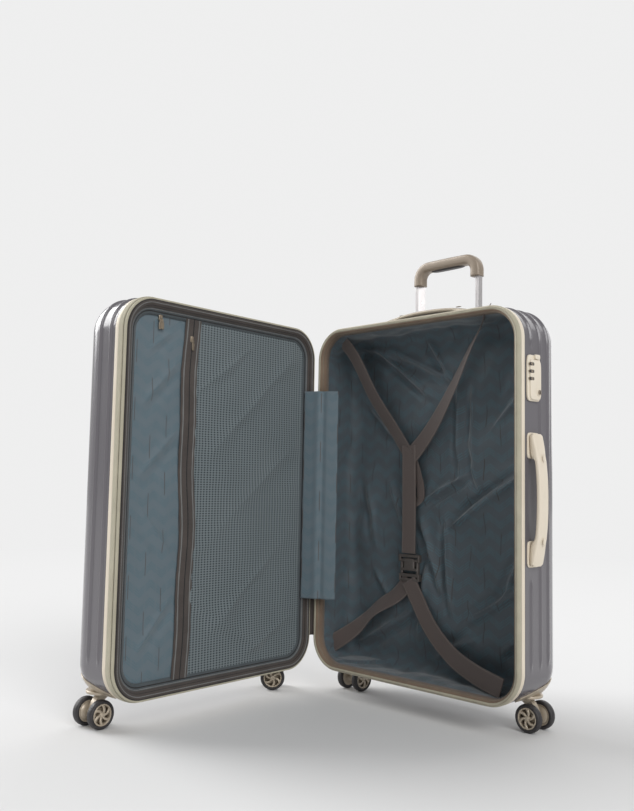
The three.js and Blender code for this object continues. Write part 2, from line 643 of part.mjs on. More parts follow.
function upperStraps() {
  const meet = strapPoint(STRAP_MIDDLE, strapDepth, strapMeet);
  const low = strapPoint(STRAP_MIDDLE, strapDepth, buckleTop + 2 * GAP);
  const left = strapPoint(caseLeft + 62, STRAP_CORNER_DEPTH, CASE_HEIGHT - 40);
  const right = strapPoint(caseRight - 88, STRAP_CORNER_DEPTH, CASE_HEIGHT - 32);
  const down = ribbon([meet.clone().add(new THREE.Vector3(0, 0, 12)), low], [across, across],
    STRAP_WIDTH, STRAP_THICKNESS);
  return join(strapArm(left, meet), strapArm(right, meet), down);
}

function lowerStraps() {
  const top = strapPoint(STRAP_MIDDLE, strapDepth, BUCKLE_BOTTOM - 2 * GAP);
  const meet = strapPoint(STRAP_MIDDLE, strapDepth, BUCKLE_BOTTOM - 24);
  const left = strapPoint(caseLeft + 40, STRAP_CORNER_DEPTH + 4, 50);
  const right = strapPoint(caseRight - 66, STRAP_CORNER_DEPTH + 4, 40);
  const down = ribbon([top, meet.clone().add(new THREE.Vector3(0, 0, -8))], [across, across],
    STRAP_WIDTH, STRAP_THICKNESS);
  return join(strapArm(left, meet), strapArm(right, meet), down);
}

// The buckle's socket is open below, where the plug's two prongs go in.
function buckleSocket() {
  const half = BUCKLE_WIDTH / 2;
  const body = upright(new THREE.Shape(roundedRectangle(STRAP_MIDDLE - half, STRAP_MIDDLE + half,
    caseBottom + buckleSplit, caseBottom + buckleTop, 6, 3)),
  strapDepth - BUCKLE_THICKNESS / 2, strapDepth + BUCKLE_THICKNESS / 2, 1.5);
  const inside = box(STRAP_MIDDLE - half + 6, STRAP_MIDDLE + half - 6, strapDepth - 3,
    strapDepth + 3, caseBottom + buckleSplit - 5, caseBottom + buckleTop - 8);
  return cut(body, inside);
}

function bucklePlug() {
  const half = BUCKLE_WIDTH / 2;
  const bar = upright(new THREE.Shape(roundedRectangle(STRAP_MIDDLE - half, STRAP_MIDDLE + half,
    caseBottom + BUCKLE_BOTTOM, caseBottom + buckleSplit - GAP, 5, 3)),
  strapDepth - BUCKLE_THICKNESS / 2, strapDepth + BUCKLE_THICKNESS / 2, 1.5);
  const prongs = [-1, 1].map((side) => {
    const middle = STRAP_MIDDLE + side * 14;
    return box(middle - 4, middle + 4, strapDepth - 2.2, strapDepth + 2.2,
      caseBottom + buckleSplit - 4, caseBottom + buckleTop - 10);
  });
  return join(bar, ...prongs);
}

// A point of the lid as it stands open, given in the lid's own closed position.
function lidPoint(x, y, z) {
  return new THREE.Vector3(x, -y, z).applyAxisAngle(new THREE.Vector3(0, 0, 1), -openTurn);
}

// The flap of lining fabric that covers the hinge inside.
function hingeGusset() {
  const low = caseBottom + GUSSET_LOW;
  const high = caseTop - GUSSET_DROP;
  const at = (z) => [
    new THREE.Vector3(52, 6, z), new THREE.Vector3(18, -3, z), new THREE.Vector3(9, -7, z),
    lidPoint(18, -3, z), lidPoint(44, 5, z),
  ];
  const middle = at((low + high) / 2);
  const up = middle.map(() => new THREE.Vector3(0, 0, 1));
  return ribbon(middle, up, high - low, 1.6);
}

// The strip that joins the two halves outside and lets them fold.
function hingeStrip() {
  const low = caseBottom + STRIP_LOW;
  const high = caseTop - STRIP_DROP;
  const z = (low + high) / 2;
  const middle = [
    new THREE.Vector3(1.7, 20, z), new THREE.Vector3(1.7, 2, z), lidPoint(1.7, 2, z),
    lidPoint(1.7, 20, z),
  ];
  const up = middle.map(() => new THREE.Vector3(0, 0, 1));
  return ribbon(middle, up, high - low, 1.2);
}

// ---- Divider, pocket and zips ----

function dividerPanel() {
  return upright(new THREE.Shape(caseOutline(PANEL_INSET)), PANEL_DEPTH,
    PANEL_DEPTH + PANEL_THICKNESS);
}

const pocketFront = PANEL_DEPTH - GAP - POCKET_THICKNESS;

function meshPocket() {
  const inset = PANEL_INSET + POCKET_INSET;
  const outline = new THREE.Shape(roundedRectangle(caseLeft + inset, pocketEdge,
    caseBottom + inset, caseTop - inset, 26, 4));
  return upright(outline, pocketFront, pocketFront + POCKET_THICKNESS);
}

// A zip slider with its pull tab hanging down in front of it.
function zipSlider(x, z, front) {
  const body = box(x - 4, x + 4, front - 3.2, front - GAP, z - 6, z + 6);
  const tab = upright(new THREE.Shape(roundedRectangle(x - 3, x + 3, z - 30, z + 3, 2.6, 3)),
    front - 4.6, front - 2.8);
  return join(body, tab);
}

// ---- Assembly ----

const suitcase = new THREE.Group();
suitcase.name = 'suitcase';
const back = new THREE.Group();
suitcase.add(back);

const lockHole = box(caseRight - 12, caseRight + 2, dialDepth - DIAL_RADIUS - 2,
  dialDepth + DIAL_RADIUS + 2, dialHeight(2) - 6, dialHeight(0) + 6);
const backShell = cut(shellSolid(backShellFront, BACK_DEPTH, backCasterDepth), lockHole, ...trolleyHoles());
back.add(mesh('back_shell', backShell, graphite()));
back.add(mesh('back_rim_band', caseFrame(-BAND_PROUD, BAND_THICKNESS - BAND_PROUD,
  MOUTH_GAP + ZIP_TAPE_DEPTH + GAP, backShellFront - GAP), cream()));
back.add(mesh('back_zip_tape', caseFrame(0, BAND_THICKNESS, MOUTH_GAP,
  MOUTH_GAP + ZIP_TAPE_DEPTH), beige()));
back.add(mesh('back_lining', lining(), liningBlue()));

const trolley = trolleyPieces();
back.add(...trolley.fixed, ...trolley.sliding, ...trolley.button);

back.add(mesh('side_handle_base_1', onSide(handleBase(1)), cream()));
back.add(mesh('side_handle_base_2', onSide(handleBase(-1)), cream()));
back.add(mesh('side_handle_grip', onSide(handleGrip()), cream()));
back.add(mesh('top_handle_base', onTop(topHandleBase()), champagne()));
back.add(mesh('top_handle_grip', onTop(handleGrip()), gripBrown()));

back.add(mesh('lock_body', lockBody(), cream()));
back.add(mesh('lock_button', lockButton(), cream()));
[0, 1, 2].forEach((i) => back.add(mesh(`lock_dial_${i + 1}`, lockDial(i), darkPlastic())));
back.add(mesh('lock_key_plug', lockKey(), champagne()));

back.add(mesh('cross_strap_upper', upperStraps(), strapBrown()));
back.add(mesh('cross_strap_lower', lowerStraps(), strapBrown()));
back.add(mesh('buckle_socket', buckleSocket(), champagne()));
back.add(mesh('buckle_plug', bucklePlug(), champagne()));
back.add(mesh('hinge_gusset', hingeGusset(), liningBlue()));
back.add(mesh('hinge_strip', hingeStrip(), taupe()));

const freePivot = caseRight - CASTER_INSET;
const hingePivot = caseLeft + CASTER_INSET;
back.add(mesh('back_free_housing',
  casterHousing(false, backCasterDepth, backShellFront, BACK_DEPTH), champagne()));
back.add(mesh('back_hinge_housing',
  casterHousing(true, backCasterDepth, backShellFront, BACK_DEPTH), champagne()));
back.add(caster('back_free', freePivot, backCasterDepth, 0));
back.add(caster('back_hinge', hingePivot, backCasterDepth, -90));

// The lid is the back half's mirror image across the mouth plane, swung open on the hinge.
const lidSwing = new THREE.Group();
lidSwing.rotation.z = -openTurn;
suitcase.add(lidSwing);
const lid = new THREE.Group();
lid.scale.y = -1;
lidSwing.add(lid);

const expanderFront = MOUTH_GAP + LID_TAPE_DEPTH + GAP;
const bandFront = expanderFront + LID_EXPANDER_DEPTH + GAP;
lid.add(mesh('lid_shell', shellSolid(lidShellFront, LID_DEPTH, lidCasterDepth),
  graphite()));
lid.add(mesh('lid_rim_band', caseFrame(-BAND_PROUD, BAND_THICKNESS - BAND_PROUD, bandFront,
  bandFront + LID_BAND_DEPTH), cream()));
lid.add(mesh('lid_expander_band', caseFrame(-BAND_PROUD / 2, BAND_THICKNESS, expanderFront,
  expanderFront + LID_EXPANDER_DEPTH), beige()));
lid.add(mesh('lid_zip_tape', caseFrame(0, LID_TAPE_THICKNESS, MOUTH_GAP,
  MOUTH_GAP + LID_TAPE_DEPTH), taupe()));
lid.add(mesh('divider_panel', dividerPanel(), liningBlue()));
lid.add(mesh('mesh_pocket', meshPocket(), meshBlue()));
lid.add(mesh('divider_zip_slider', zipSlider(caseRight - 84, caseTop - PANEL_INSET - 7,
  PANEL_DEPTH), champagne()));
lid.add(mesh('pocket_zip_slider', zipSlider(pocketEdge - 6, caseTop - PANEL_INSET - 36,
  pocketFront), champagne()));
lid.add(mesh('lid_free_housing',
  casterHousing(false, lidCasterDepth, lidShellFront, LID_DEPTH), champagne()));
lid.add(mesh('lid_hinge_housing',
  casterHousing(true, lidCasterDepth, lidShellFront, LID_DEPTH), champagne()));
lid.add(caster('lid_free', freePivot, lidCasterDepth, 0));
lid.add(caster('lid_hinge', hingePivot, lidCasterDepth, -135));

// The origin is the middle of the footprint, on the floor.
suitcase.updateMatrixWorld(true);
const extent = new THREE.Box3().setFromObject(suitcase, true);
suitcase.position.set(-(extent.min.x + extent.max.x) / 2, -(extent.min.y + extent.max.y) / 2,
  -extent.min.z);

export default suitcase;
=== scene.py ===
"""A hard shell travel case that stands open like a book, built round its CAD frame.

Lengths in the sections are in millimetres; on_back and on_lid turn them into the frame's metres.
"""
import json
import math

import bmesh
import bpy
import numpy as np
from mathutils import Matrix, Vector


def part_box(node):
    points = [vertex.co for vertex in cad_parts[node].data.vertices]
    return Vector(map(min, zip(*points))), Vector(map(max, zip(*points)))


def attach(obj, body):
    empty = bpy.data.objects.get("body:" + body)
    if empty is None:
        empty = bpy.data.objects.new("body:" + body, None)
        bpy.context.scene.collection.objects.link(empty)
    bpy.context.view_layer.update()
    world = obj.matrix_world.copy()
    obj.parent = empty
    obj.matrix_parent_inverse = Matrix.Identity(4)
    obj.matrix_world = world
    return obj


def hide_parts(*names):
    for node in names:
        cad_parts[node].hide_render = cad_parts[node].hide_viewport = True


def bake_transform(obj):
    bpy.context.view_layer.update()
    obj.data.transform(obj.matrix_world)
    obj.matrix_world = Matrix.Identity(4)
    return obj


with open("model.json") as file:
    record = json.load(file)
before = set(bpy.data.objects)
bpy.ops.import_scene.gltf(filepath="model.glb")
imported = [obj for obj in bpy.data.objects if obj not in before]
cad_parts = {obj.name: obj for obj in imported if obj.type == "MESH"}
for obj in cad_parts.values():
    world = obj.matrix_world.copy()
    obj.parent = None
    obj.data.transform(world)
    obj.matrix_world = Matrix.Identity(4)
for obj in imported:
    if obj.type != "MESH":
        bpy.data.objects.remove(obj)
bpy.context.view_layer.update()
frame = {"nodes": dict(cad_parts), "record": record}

# ---- The two halves and the hinge line ------------------------------------------------------
# A place on a half is (s, d, z): s across from the hinge line, d behind the mouth and z up.
# The lid is the back half's mirror image, turned about the hinge by the opening angle.
joints = {joint["name"]: joint for joint in frame["record"]["behaviour"]["joints"]}
mounts = {mount["name"]: mount for mount in frame["record"]["mounts"]}
HINGE = np.array(joints["lid_hinge"]["pos_m"]) * 1000
OPENING = math.radians(-joints["lid_hinge"]["range_deg"][0])
ACROSS_LID = np.array([math.cos(OPENING), -math.sin(OPENING)])
BEHIND_LID = np.array([-math.sin(OPENING), -math.cos(OPENING)])

shell_low, shell_high = (np.array(corner) * 1000 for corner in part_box("back_shell"))
LEFT = shell_low[0] - HINGE[0]
RIGHT = shell_high[0] - HINGE[0]
BOTTOM = shell_low[2]
TOP = shell_high[2]
MIDDLE = (LEFT + RIGHT) / 2
BACK_DEPTH = shell_high[1] - HINGE[1]
lid_panel = np.array(mounts["lid_panel"]["pos_m"]) * 1000
LID_DEPTH = float((lid_panel[:2] - HINGE[:2]) @ BEHIND_LID)


def on_back(s, d, z):
    """Row frame metres of a place on the back half: the hinge line plus s along X and d along Y."""
    s, d, z = np.broadcast_arrays(s, d, z)
    return np.stack([HINGE[0] + s, HINGE[1] + d, z], -1) / 1000


def on_lid(s, d, z):
    """Row frame metres of a place on the lid: the hinge line plus s across the lid and d behind it."""
    s, d, z = np.broadcast_arrays(s, d, z)
    flat = HINGE[:2] + s[..., None] * ACROSS_LID + d[..., None] * BEHIND_LID
    return np.concatenate([flat, z[..., None]], -1) / 1000


# ---- Camera, floor and light ----------------------------------------------------------------
# The case is seen from in front at half its height, looking along the hinge's bisector.
# The floor is a pale sweep that fades into the backdrop. Three broad soft suns light the outer
# sides and leave the inside of the back half in shade.
LOOK_YAW = math.radians(-46.18)
LOOK_PITCH = math.radians(5.04)
LOOK_ROLL = math.radians(1.10)
EYE = np.array([1.1675, -1.1209, 0.4283])
FOCAL_IN_HEIGHTS = 1.0975
SENSOR = 36.0
LENS_SHIFT = (-0.0045, -0.0008)
SKY_LIGHT = 0.47
SKY_SEEN = 0.86

camera_data = bpy.data.cameras.new("camera")
camera = bpy.data.objects.new("camera", camera_data)
bpy.context.scene.collection.objects.link(camera)
forward = np.array([math.sin(LOOK_YAW) * math.cos(LOOK_PITCH),
                    math.cos(LOOK_YAW) * math.cos(LOOK_PITCH), math.sin(LOOK_PITCH)])
level = np.array([math.cos(LOOK_YAW), -math.sin(LOOK_YAW), 0.0])
upright = np.cross(level, forward)
right = level * math.cos(LOOK_ROLL) + upright * math.sin(LOOK_ROLL)
up = upright * math.cos(LOOK_ROLL) - level * math.sin(LOOK_ROLL)
pose = np.eye(4)
pose[:3, 0], pose[:3, 1], pose[:3, 2], pose[:3, 3] = right, up, -forward, EYE
camera.matrix_world = Matrix(pose.tolist())
camera_data.sensor_width = SENSOR
camera_data.lens = SENSOR * FOCAL_IN_HEIGHTS
camera_data.shift_x, camera_data.shift_y = LENS_SHIFT
camera_data.clip_end = 50
bpy.context.scene.camera = camera

world = bpy.data.worlds.new("studio")
world.use_nodes = True
backdrop = world.node_tree.nodes["Background"]
backdrop.inputs["Color"].default_value = (1.0, 1.0, 1.0, 1)
seen = world.node_tree.nodes.new("ShaderNodeLightPath").outputs["Is Camera Ray"]
brightness = world.node_tree.nodes.new("ShaderNodeMapRange")
brightness.inputs["To Min"].default_value = SKY_LIGHT
brightness.inputs["To Max"].default_value = SKY_SEEN
world.node_tree.links.new(seen, brightness.inputs["Value"])
world.node_tree.links.new(brightness.outputs[0], backdrop.inputs["Strength"])
bpy.context.scene.world = world
bpy.context.scene.view_settings.view_transform = "Standard"


def soft_sun(name, come_from, strength, spread):
    """Even light over the whole floor from that direction, spread over so many degrees of sky."""
    data = bpy.data.lights.new(name, "SUN")
    data.energy = strength
    data.angle = math.radians(spread)
    light = bpy.data.objects.new(name, data)
    back = np.array(come_from, float) / np.linalg.norm(come_from)
    side = np.cross((0.0, 0.0, 1.0), back)
    side /= np.linalg.norm(side)
    turn = np.eye(4)
    turn[:3, 0], turn[:3, 1], turn[:3, 2] = side, np.cross(back, side), back
    light.matrix_world = Matrix(turn.tolist())
    bpy.context.scene.collection.objects.link(light)


soft_sun("key_right", (2.2, -0.7, 1.4), 1.5, 40)
soft_sun("key_left", (-1.9, -0.7, 1.2), 2.7, 45)
soft_sun("back_light", (-0.4, 1.6, 1.0), 0.8, 60)


def mesh_object(name, verts, faces):
    """A mesh object at the origin from an (n, 3) array of places and an (m, 4) array of corners."""
    data = bpy.data.meshes.new(name)
    data.vertices.add(len(verts))
    data.vertices.foreach_set("co", np.ascontiguousarray(verts, dtype=np.float32).ravel())
    corners = np.ascontiguousarray(faces, dtype=np.int32)
    sides = corners.shape[1]
    data.loops.add(corners.size)
    data.loops.foreach_set("vertex_index", corners.ravel())
    data.polygons.add(len(corners))
    data.polygons.foreach_set("loop_start", np.arange(0, corners.size, sides, dtype=np.int32))
    data.polygons.foreach_set("use_smooth", np.ones(len(corners), dtype=bool))
    data.update(calc_edges=True)
    data.validate()
    piece = bpy.data.objects.new(name, data)
    bpy.context.scene.collection.objects.link(piece)
    return piece


def node_material(name, colour, roughness, metallic=0.0, coat=0.0, sheen=0.0, specular=0.5):
    """A new Principled material with those plain values, ready for pattern nodes."""
    material = bpy.data.materials.new(name)
    material.use_nodes = True
    shader = material.node_tree.nodes["Principled BSDF"]
    shader.inputs["Base Color"].default_value = (*colour, 1)
    shader.inputs["Roughness"].default_value = roughness
    shader.inputs["Metallic"].default_value = metallic
    shader.inputs["Coat Weight"].default_value = coat
    shader.inputs["Coat Roughness"].default_value = 0.12
    shader.inputs["Sheen Weight"].default_value = sheen
    shader.inputs["Specular IOR Level"].default_value = specular
    return material


class Nodes:
    """Short calls for the nodes of one material: each returns the new node's output socket."""

    def __init__(self, material):
        """Takes the node tree and the shader of that material."""
        self.tree = material.node_tree
        self.shader = self.tree.nodes["Principled BSDF"]

    def add(self, kind, inputs, **settings):
        """A node of that kind, with its inputs linked or set by name or number."""
        node = self.tree.nodes.new(kind)
        for key, value in settings.items():
            setattr(node, key, value)
        for key, value in inputs.items():
            if isinstance(value, bpy.types.NodeSocket):
                self.tree.links.new(value, node.inputs[key])
            else:
                node.inputs[key].default_value = value
        return node

    def maths(self, operation, first, second=0.0, third=0.0):
        """One sum of up to three values or sockets."""
        inputs = {0: first, 1: second, 2: third}
        return self.add("ShaderNodeMath", inputs, operation=operation).outputs[0]

    def place(self):
        """Object coordinates, in metres."""
        return self.add("ShaderNodeTexCoord", {}).outputs["Object"]

    def uv(self):
        """The piece's own UV map, in metres along the cloth."""
        return self.add("ShaderNodeTexCoord", {}).outputs["UV"]

    def noise(self, where, scale, detail=2.0, roughness=0.5):
        """Soft noise from 0 to 1 over those coordinates."""
        inputs = {"Vector": where, "Scale": scale, "Detail": detail, "Roughness": roughness}
        return self.add("ShaderNodeTexNoise", inputs).outputs["Fac"]

    def blend(self, amount, first, second):
        """A mix of two colours."""
        node = self.add("ShaderNodeMix", {}, data_type="RGBA")
        for socket, value in zip((node.inputs[0], node.inputs[6], node.inputs[7]),
                                 (amount, first, second)):
            if isinstance(value, bpy.types.NodeSocket):
                self.tree.links.new(value, socket)
            else:
                socket.default_value = value if isinstance(value, float) else (*value, 1)
        return node.outputs[2]

    def span(self, value, low, high, new_low=0.0, new_high=1.0):
        """A value taken from one range to another and held inside it."""
        inputs = {0: value, 1: low, 2: high, 3: new_low, 4: new_high}
        return self.add("ShaderNodeMapRange", inputs).outputs[0]

    def bump(self, height, distance, strength=1.0):
        """A bump that stands that far proud, in metres, led to the shader's normal."""
        inputs = {"Height": height, "Distance": distance, "Strength": strength}
        node = self.add("ShaderNodeBump", inputs)
        self.tree.links.new(node.outputs["Normal"], self.shader.inputs["Normal"])

    def lead(self, socket, name):
        """Links a socket to the shader's input of that name."""
        self.tree.links.new(socket, self.shader.inputs[name])


def finish_piece(piece, material, body, slot, *nodes):
    """Gives a finished piece its material and its body and hides the CAD nodes it stands for; slot is not
    used.
    """
    piece.data.materials.clear()
    piece.data.materials.append(material)
    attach(piece, body)
    if nodes:
        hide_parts(*nodes)
    return piece


FLOOR_CALM, FLOOR_FAR = 1.3, 4.2
FLOOR_HALF = 14.0
FLOOR_GREY = (0.70, 0.70, 0.70)
floor_paint = node_material("studio_floor", FLOOR_GREY, 0.9, specular=0.0)
floor_nodes = Nodes(floor_paint)
floor_grain = floor_nodes.noise(floor_nodes.place(), 3.0)
floor_nodes.lead(floor_nodes.span(floor_grain, 0.3, 0.7, 0.86, 0.92), "Roughness")
floor_reach = floor_nodes.add("ShaderNodeVectorMath", {0: floor_nodes.place()}, operation="LENGTH")
floor_far = floor_nodes.span(floor_reach.outputs["Value"], FLOOR_CALM, FLOOR_FAR)
floor_nodes.lead(floor_nodes.blend(floor_far, FLOOR_GREY, (0.0, 0.0, 0.0)), "Base Color")
floor_nodes.lead(floor_nodes.maths("MULTIPLY", floor_far, SKY_SEEN), "Emission Strength")
floor_square = np.array([[-1, -1, 0], [1, -1, 0], [1, 1, 0], [-1, 1, 0]]) * FLOOR_HALF
floor = mesh_object("studio_floor", floor_square, np.array([[0, 1, 2, 3]]))
floor.data.materials.append(floor_paint)

# ---- Shells ---------------------------------------------------------------------------------
# Each half is one drawn sheet of glossy graphite polycarbonate, 2.6 mm thick, with a rounded
# outline and a rounded back edge. Ribs are pressed into it round the sides and down the broad
# wall, all fading out above the casters, which turn in shallow wells in the bottom corners.
CORNER = 62.0
BACK_EDGE = 48.0
WALL = 2.6
RIB_HEIGHT = 3.1
RIB_HALF = 4.4
RIBS_END = 128.0
BROAD_RIB_GAP = 46.0
WELL_RADIUS = 55.0
WELL_DEPTH = 11.0
PIVOT_INSET = 47.0
BACK_PIVOT = BACK_DEPTH - 48.0
LID_PIVOT = LID_DEPTH - 38.0
WELL_ROOF = BOTTOM + WELL_DEPTH
BACK_FRONT = (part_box("back_shell")[0][1] * 1000) - HINGE[1]
LID_FRONT = 31.5
OUTLINE_COLUMNS = 440
WELL_LIP = 3.0
RIB_FADE_LOW, RIB_FADE_HIGH = 16.0, 6.0
RIB_END_FADE = 12.0
BROAD_RIBS_EACH_SIDE = 4
BROAD_RIB_SPREAD = 1.3
BROAD_RIB_SHARE = 0.9


def outline(count):
    """The case's outline: a rounded rectangle walked at even steps from the bottom middle.

    Returns s, z, the outward normal and the distance walked. Straight runs are lines and the
    corners are quarter circles of the corner radius.
    """
    wide, high = RIGHT - LEFT - 2 * CORNER, TOP - BOTTOM - 2 * CORNER
    arc = math.pi / 2 * CORNER
    run = np.array([wide / 2, arc, high, arc, wide, arc, high, arc, wide / 2])
    ends = np.concatenate([[0], np.cumsum(run)])
    walked = np.arange(count) / count * ends[-1]
    piece = np.clip(np.searchsorted(ends, walked, "right") - 1, 0, len(run) - 1)
    along = (walked - ends[piece]) / run[piece]
    angle = np.array([-90, -90, 0, 0, 90, 90, 180, 180, 270])[piece].astype(float)
    angle += np.where(piece % 2 == 1, 90 * along, 0)
    angle = np.radians(angle)
    normal_s, normal_z = np.cos(angle), np.sin(angle)
    slide = np.where(piece % 2 == 0, along * run[piece], 0)
    start_s = np.array([0, wide / 2, wide / 2, wide / 2, wide / 2, -wide / 2, -wide / 2,
                        -wide / 2, -wide / 2])[piece]
    start_z = np.array([-high / 2, -high / 2, -high / 2, high / 2, high / 2, high / 2, high / 2,
                        -high / 2, -high / 2])[piece]
    s = MIDDLE + start_s - normal_z * slide + CORNER * normal_s
    z = (TOP + BOTTOM) / 2 + start_z + normal_s * slide + CORNER * normal_z
    return s, z, normal_s, normal_z, walked


def ease(value, low, high):
    """0 below low, 1 above high and a smooth cubic step between them."""
    t = np.clip((value - low) / (high - low), 0, 1)
    return t * t * (3 - 2 * t)


def ridge(offset, half):
    """A ridge with a nearly flat top: it eases from 0 at its half-width to 1 at a third of it."""
    return 1 - ease(np.abs(offset), half * 0.3, half)


def over_wells(s, d, z, pivot_depth, margin=0.0):
    """Lifts every place inside a caster well to the well's roof, plus a margin."""
    lifted = z
    for pivot in (LEFT + PIVOT_INSET, RIGHT - PIVOT_INSET):
        reach = np.hypot(s - pivot, d - pivot_depth) - margin
        roof = BOTTOM + (WELL_DEPTH + margin) * (1 - ease(reach, WELL_RADIUS - WELL_LIP, WELL_RADIUS))
        lifted = np.maximum(lifted, np.where(reach < WELL_RADIUS, roof, lifted))
    return lifted


def grid_faces(rows, columns, wrap_rows=False, wrap_columns=False):
    """Corner numbers of the quads of a grid of rows by columns, closed either way if wrapped."""
    r = np.arange(rows if wrap_rows else rows - 1)
    c = np.arange(columns if wrap_columns else columns - 1)
    r, c = np.meshgrid(r, c, indexing="ij")
    r2, c2 = (r + 1) % rows, (c + 1) % columns
    quads = [r * columns + c, r * columns + c2, r2 * columns + c2, r2 * columns + c]
    return np.stack(quads, -1).reshape(-1, 4)


def facing_out(verts, faces):
    """The faces, turned over if the solid that they close has a negative volume."""
    a, b, c, d = (verts[faces[:, i]] for i in range(4))
    volume = np.einsum("ij,ij->", a, np.cross(b, c)) + np.einsum("ij,ij->", a, np.cross(c, d))
    return faces[:, ::-1] if volume < 0 else faces


def grid_object(name, grid, wrap_rows=False, wrap_columns=False, closed=True, flip=False):
    """A mesh from a (rows, columns, 3) grid; a closed one is turned to face outwards."""
    rows, columns = grid.shape[:2]
    verts = grid.reshape(-1, 3)
    faces = grid_faces(rows, columns, wrap_rows, wrap_columns)
    if closed:
        faces = facing_out(verts, faces)
    elif flip:
        faces = faces[:, ::-1]
    return mesh_object(name, verts, faces)


def weld(piece, distance=1e-6):
    """Merges the places that lie on each other, such as the middle of a wall."""
    work = bmesh.new()
    work.from_mesh(piece.data)
    bmesh.ops.remove_doubles(work, verts=work.verts, dist=distance)
    bmesh.ops.dissolve_degenerate(work, edges=work.edges, dist=distance)
    work.to_mesh(piece.data)
    work.free()
    return piece


def shell_surface(inset, depth, toward_middle, pivot_depth, ribs):
    """Places on a shell, row by row.

    Each row is the outline moved in by inset, drawn toward the wall's middle by toward_middle
    and set at that depth. Ribs lift it along its normal, and the wells lift its bottom corners.
    ribs lists (depth, height below which it starts, height above which it starts).
    """
    s, z, normal_s, normal_z, _ = outline(OUTLINE_COLUMNS)
    inset, depth, draw = (np.asarray(value)[:, None] for value in (inset, depth, toward_middle))
    ring_s, ring_z = s - inset * normal_s, z - inset * normal_z
    ring_s = ring_s + (MIDDLE - ring_s) * draw
    ring_z = ring_z + ((TOP + BOTTOM) / 2 - ring_z) * draw
    fade = ease(ring_z, RIBS_END - RIB_FADE_LOW, RIBS_END + RIB_FADE_HIGH)
    lift = np.zeros_like(ring_s)
    for rib_depth, below, above in ribs:
        keep = np.maximum(1 - ease(ring_z, below - RIB_END_FADE, below),
                          ease(ring_z, above, above + RIB_END_FADE))
        on_free = ring_s > MIDDLE
        lift += ridge(depth - rib_depth, RIB_HALF) * np.where(on_free, keep, 1) * (inset < BACK_EDGE / 2)
    broad = np.zeros_like(ring_s)
    for step in range(-BROAD_RIBS_EACH_SIDE, BROAD_RIBS_EACH_SIDE + 1):
        broad += ridge(ring_s - MIDDLE - step * BROAD_RIB_GAP, RIB_HALF * BROAD_RIB_SPREAD)
    broad *= ease(inset, BACK_EDGE * 0.45, BACK_EDGE * 0.85) * ease(TOP - ring_z, 14, 40)
    out_s = ring_s + RIB_HEIGHT * fade * lift * normal_s
    out_z = ring_z + RIB_HEIGHT * fade * lift * normal_z
    out_d = depth + RIB_HEIGHT * BROAD_RIB_SHARE * fade * broad
    return out_s, out_d, over_wells(out_s, out_d, out_z, pivot_depth)


def shell_profile(front, half_depth, wall):
    """Rows of a shell from the mouth to the broad wall's middle, at a distance wall inside it.

    Gives inset, depth and draw toward the middle: a straight side, a quarter circle and a flat.
    """
    side_rows, edge_rows, flat_rows = (54, 18, 78) if wall == 0 else (5, 7, 5)
    radius = BACK_EDGE - wall
    side = np.linspace(front, half_depth - BACK_EDGE, side_rows)
    turn = np.linspace(0, math.pi / 2, edge_rows + 1)[1:]
    inset = np.concatenate([np.full(side_rows, wall), wall + radius * (1 - np.cos(turn)),
                            np.full(flat_rows, BACK_EDGE)])
    depth = np.concatenate([side, half_depth - BACK_EDGE + radius * np.sin(turn),
                            np.full(flat_rows, half_depth - wall)])
    draw = np.concatenate([np.zeros(side_rows + edge_rows), np.linspace(0, 1, flat_rows + 1)[1:]])
    return inset, depth, draw


def half_shell(name, place, front, half_depth, pivot_depth, ribs):
    """One shell: the outer rows from the mouth to the middle, and the inner rows back again."""
    outer = shell_profile(front, half_depth, 0.0)
    inner = shell_profile(front, half_depth, WALL)
    s, d, z = shell_surface(*outer, pivot_depth, ribs)
    s2, d2, z2 = shell_surface(*inner, pivot_depth, ())
    z2 = np.where(z2 < WELL_ROOF + WALL, over_wells(s2, d2, z2, pivot_depth, WALL), z2)
    grid = np.concatenate([place(s2[::-1], d2[::-1], z2[::-1]), place(s, d, z)])
    return weld(grid_object(name, grid, wrap_columns=True))


def polycarbonate():
    """Glossy moulded sheet: slow changes of tone and gloss, and a faint orange-peel bump."""
    low_tone, high_tone = (0.118, 0.11, 0.122), (0.13, 0.122, 0.135)
    material = node_material("graphite_polycarbonate", low_tone, 0.24, coat=0.5)
    nodes = Nodes(material)
    where = nodes.place()
    cloud = nodes.noise(where, 3.0, 1.0)
    nodes.lead(nodes.blend(nodes.span(cloud, 0.35, 0.65), low_tone, high_tone), "Base Color")
    nodes.lead(nodes.span(nodes.noise(where, 5.0, 2.0), 0.3, 0.7, 0.21, 0.27), "Roughness")
    nodes.bump(nodes.noise(where, 900.0), 0.00001, 0.15)
    return material


shell_material = polycarbonate()
EVERYWHERE = (9999.0, -9999.0)
HANDLE_GAP = (268.0, 672.0)
back_shell = half_shell("ribbed_back_shell", on_back, BACK_FRONT, BACK_DEPTH, BACK_PIVOT,
                        [(42.0, *HANDLE_GAP), (71.0, *EVERYWHERE), (95.0, *EVERYWHERE)])
finish_piece(back_shell, shell_material, "back_half", "shell", "back_shell")
lid_shell = half_shell("ribbed_lid_shell", on_lid, LID_FRONT, LID_DEPTH, LID_PIVOT,
                       [(43.0, *EVERYWHERE), (72.0, *EVERYWHERE)])
finish_piece(lid_shell, shell_material, "lid", "shell", "lid_shell")

# ---- Trims round the mouths -----------------------------------------------------------------
# A cream moulded band caps the edge of each shell, and a woven zip tape is sewn inside it with
# a nylon coil along its lip and a darker tape behind. On the back half that inner tape and its
# whipped binding are coloured brown as painted shade of the mouth's inner wall. The lid has an
# expander zip as well.
COIL_PITCH = 2.3


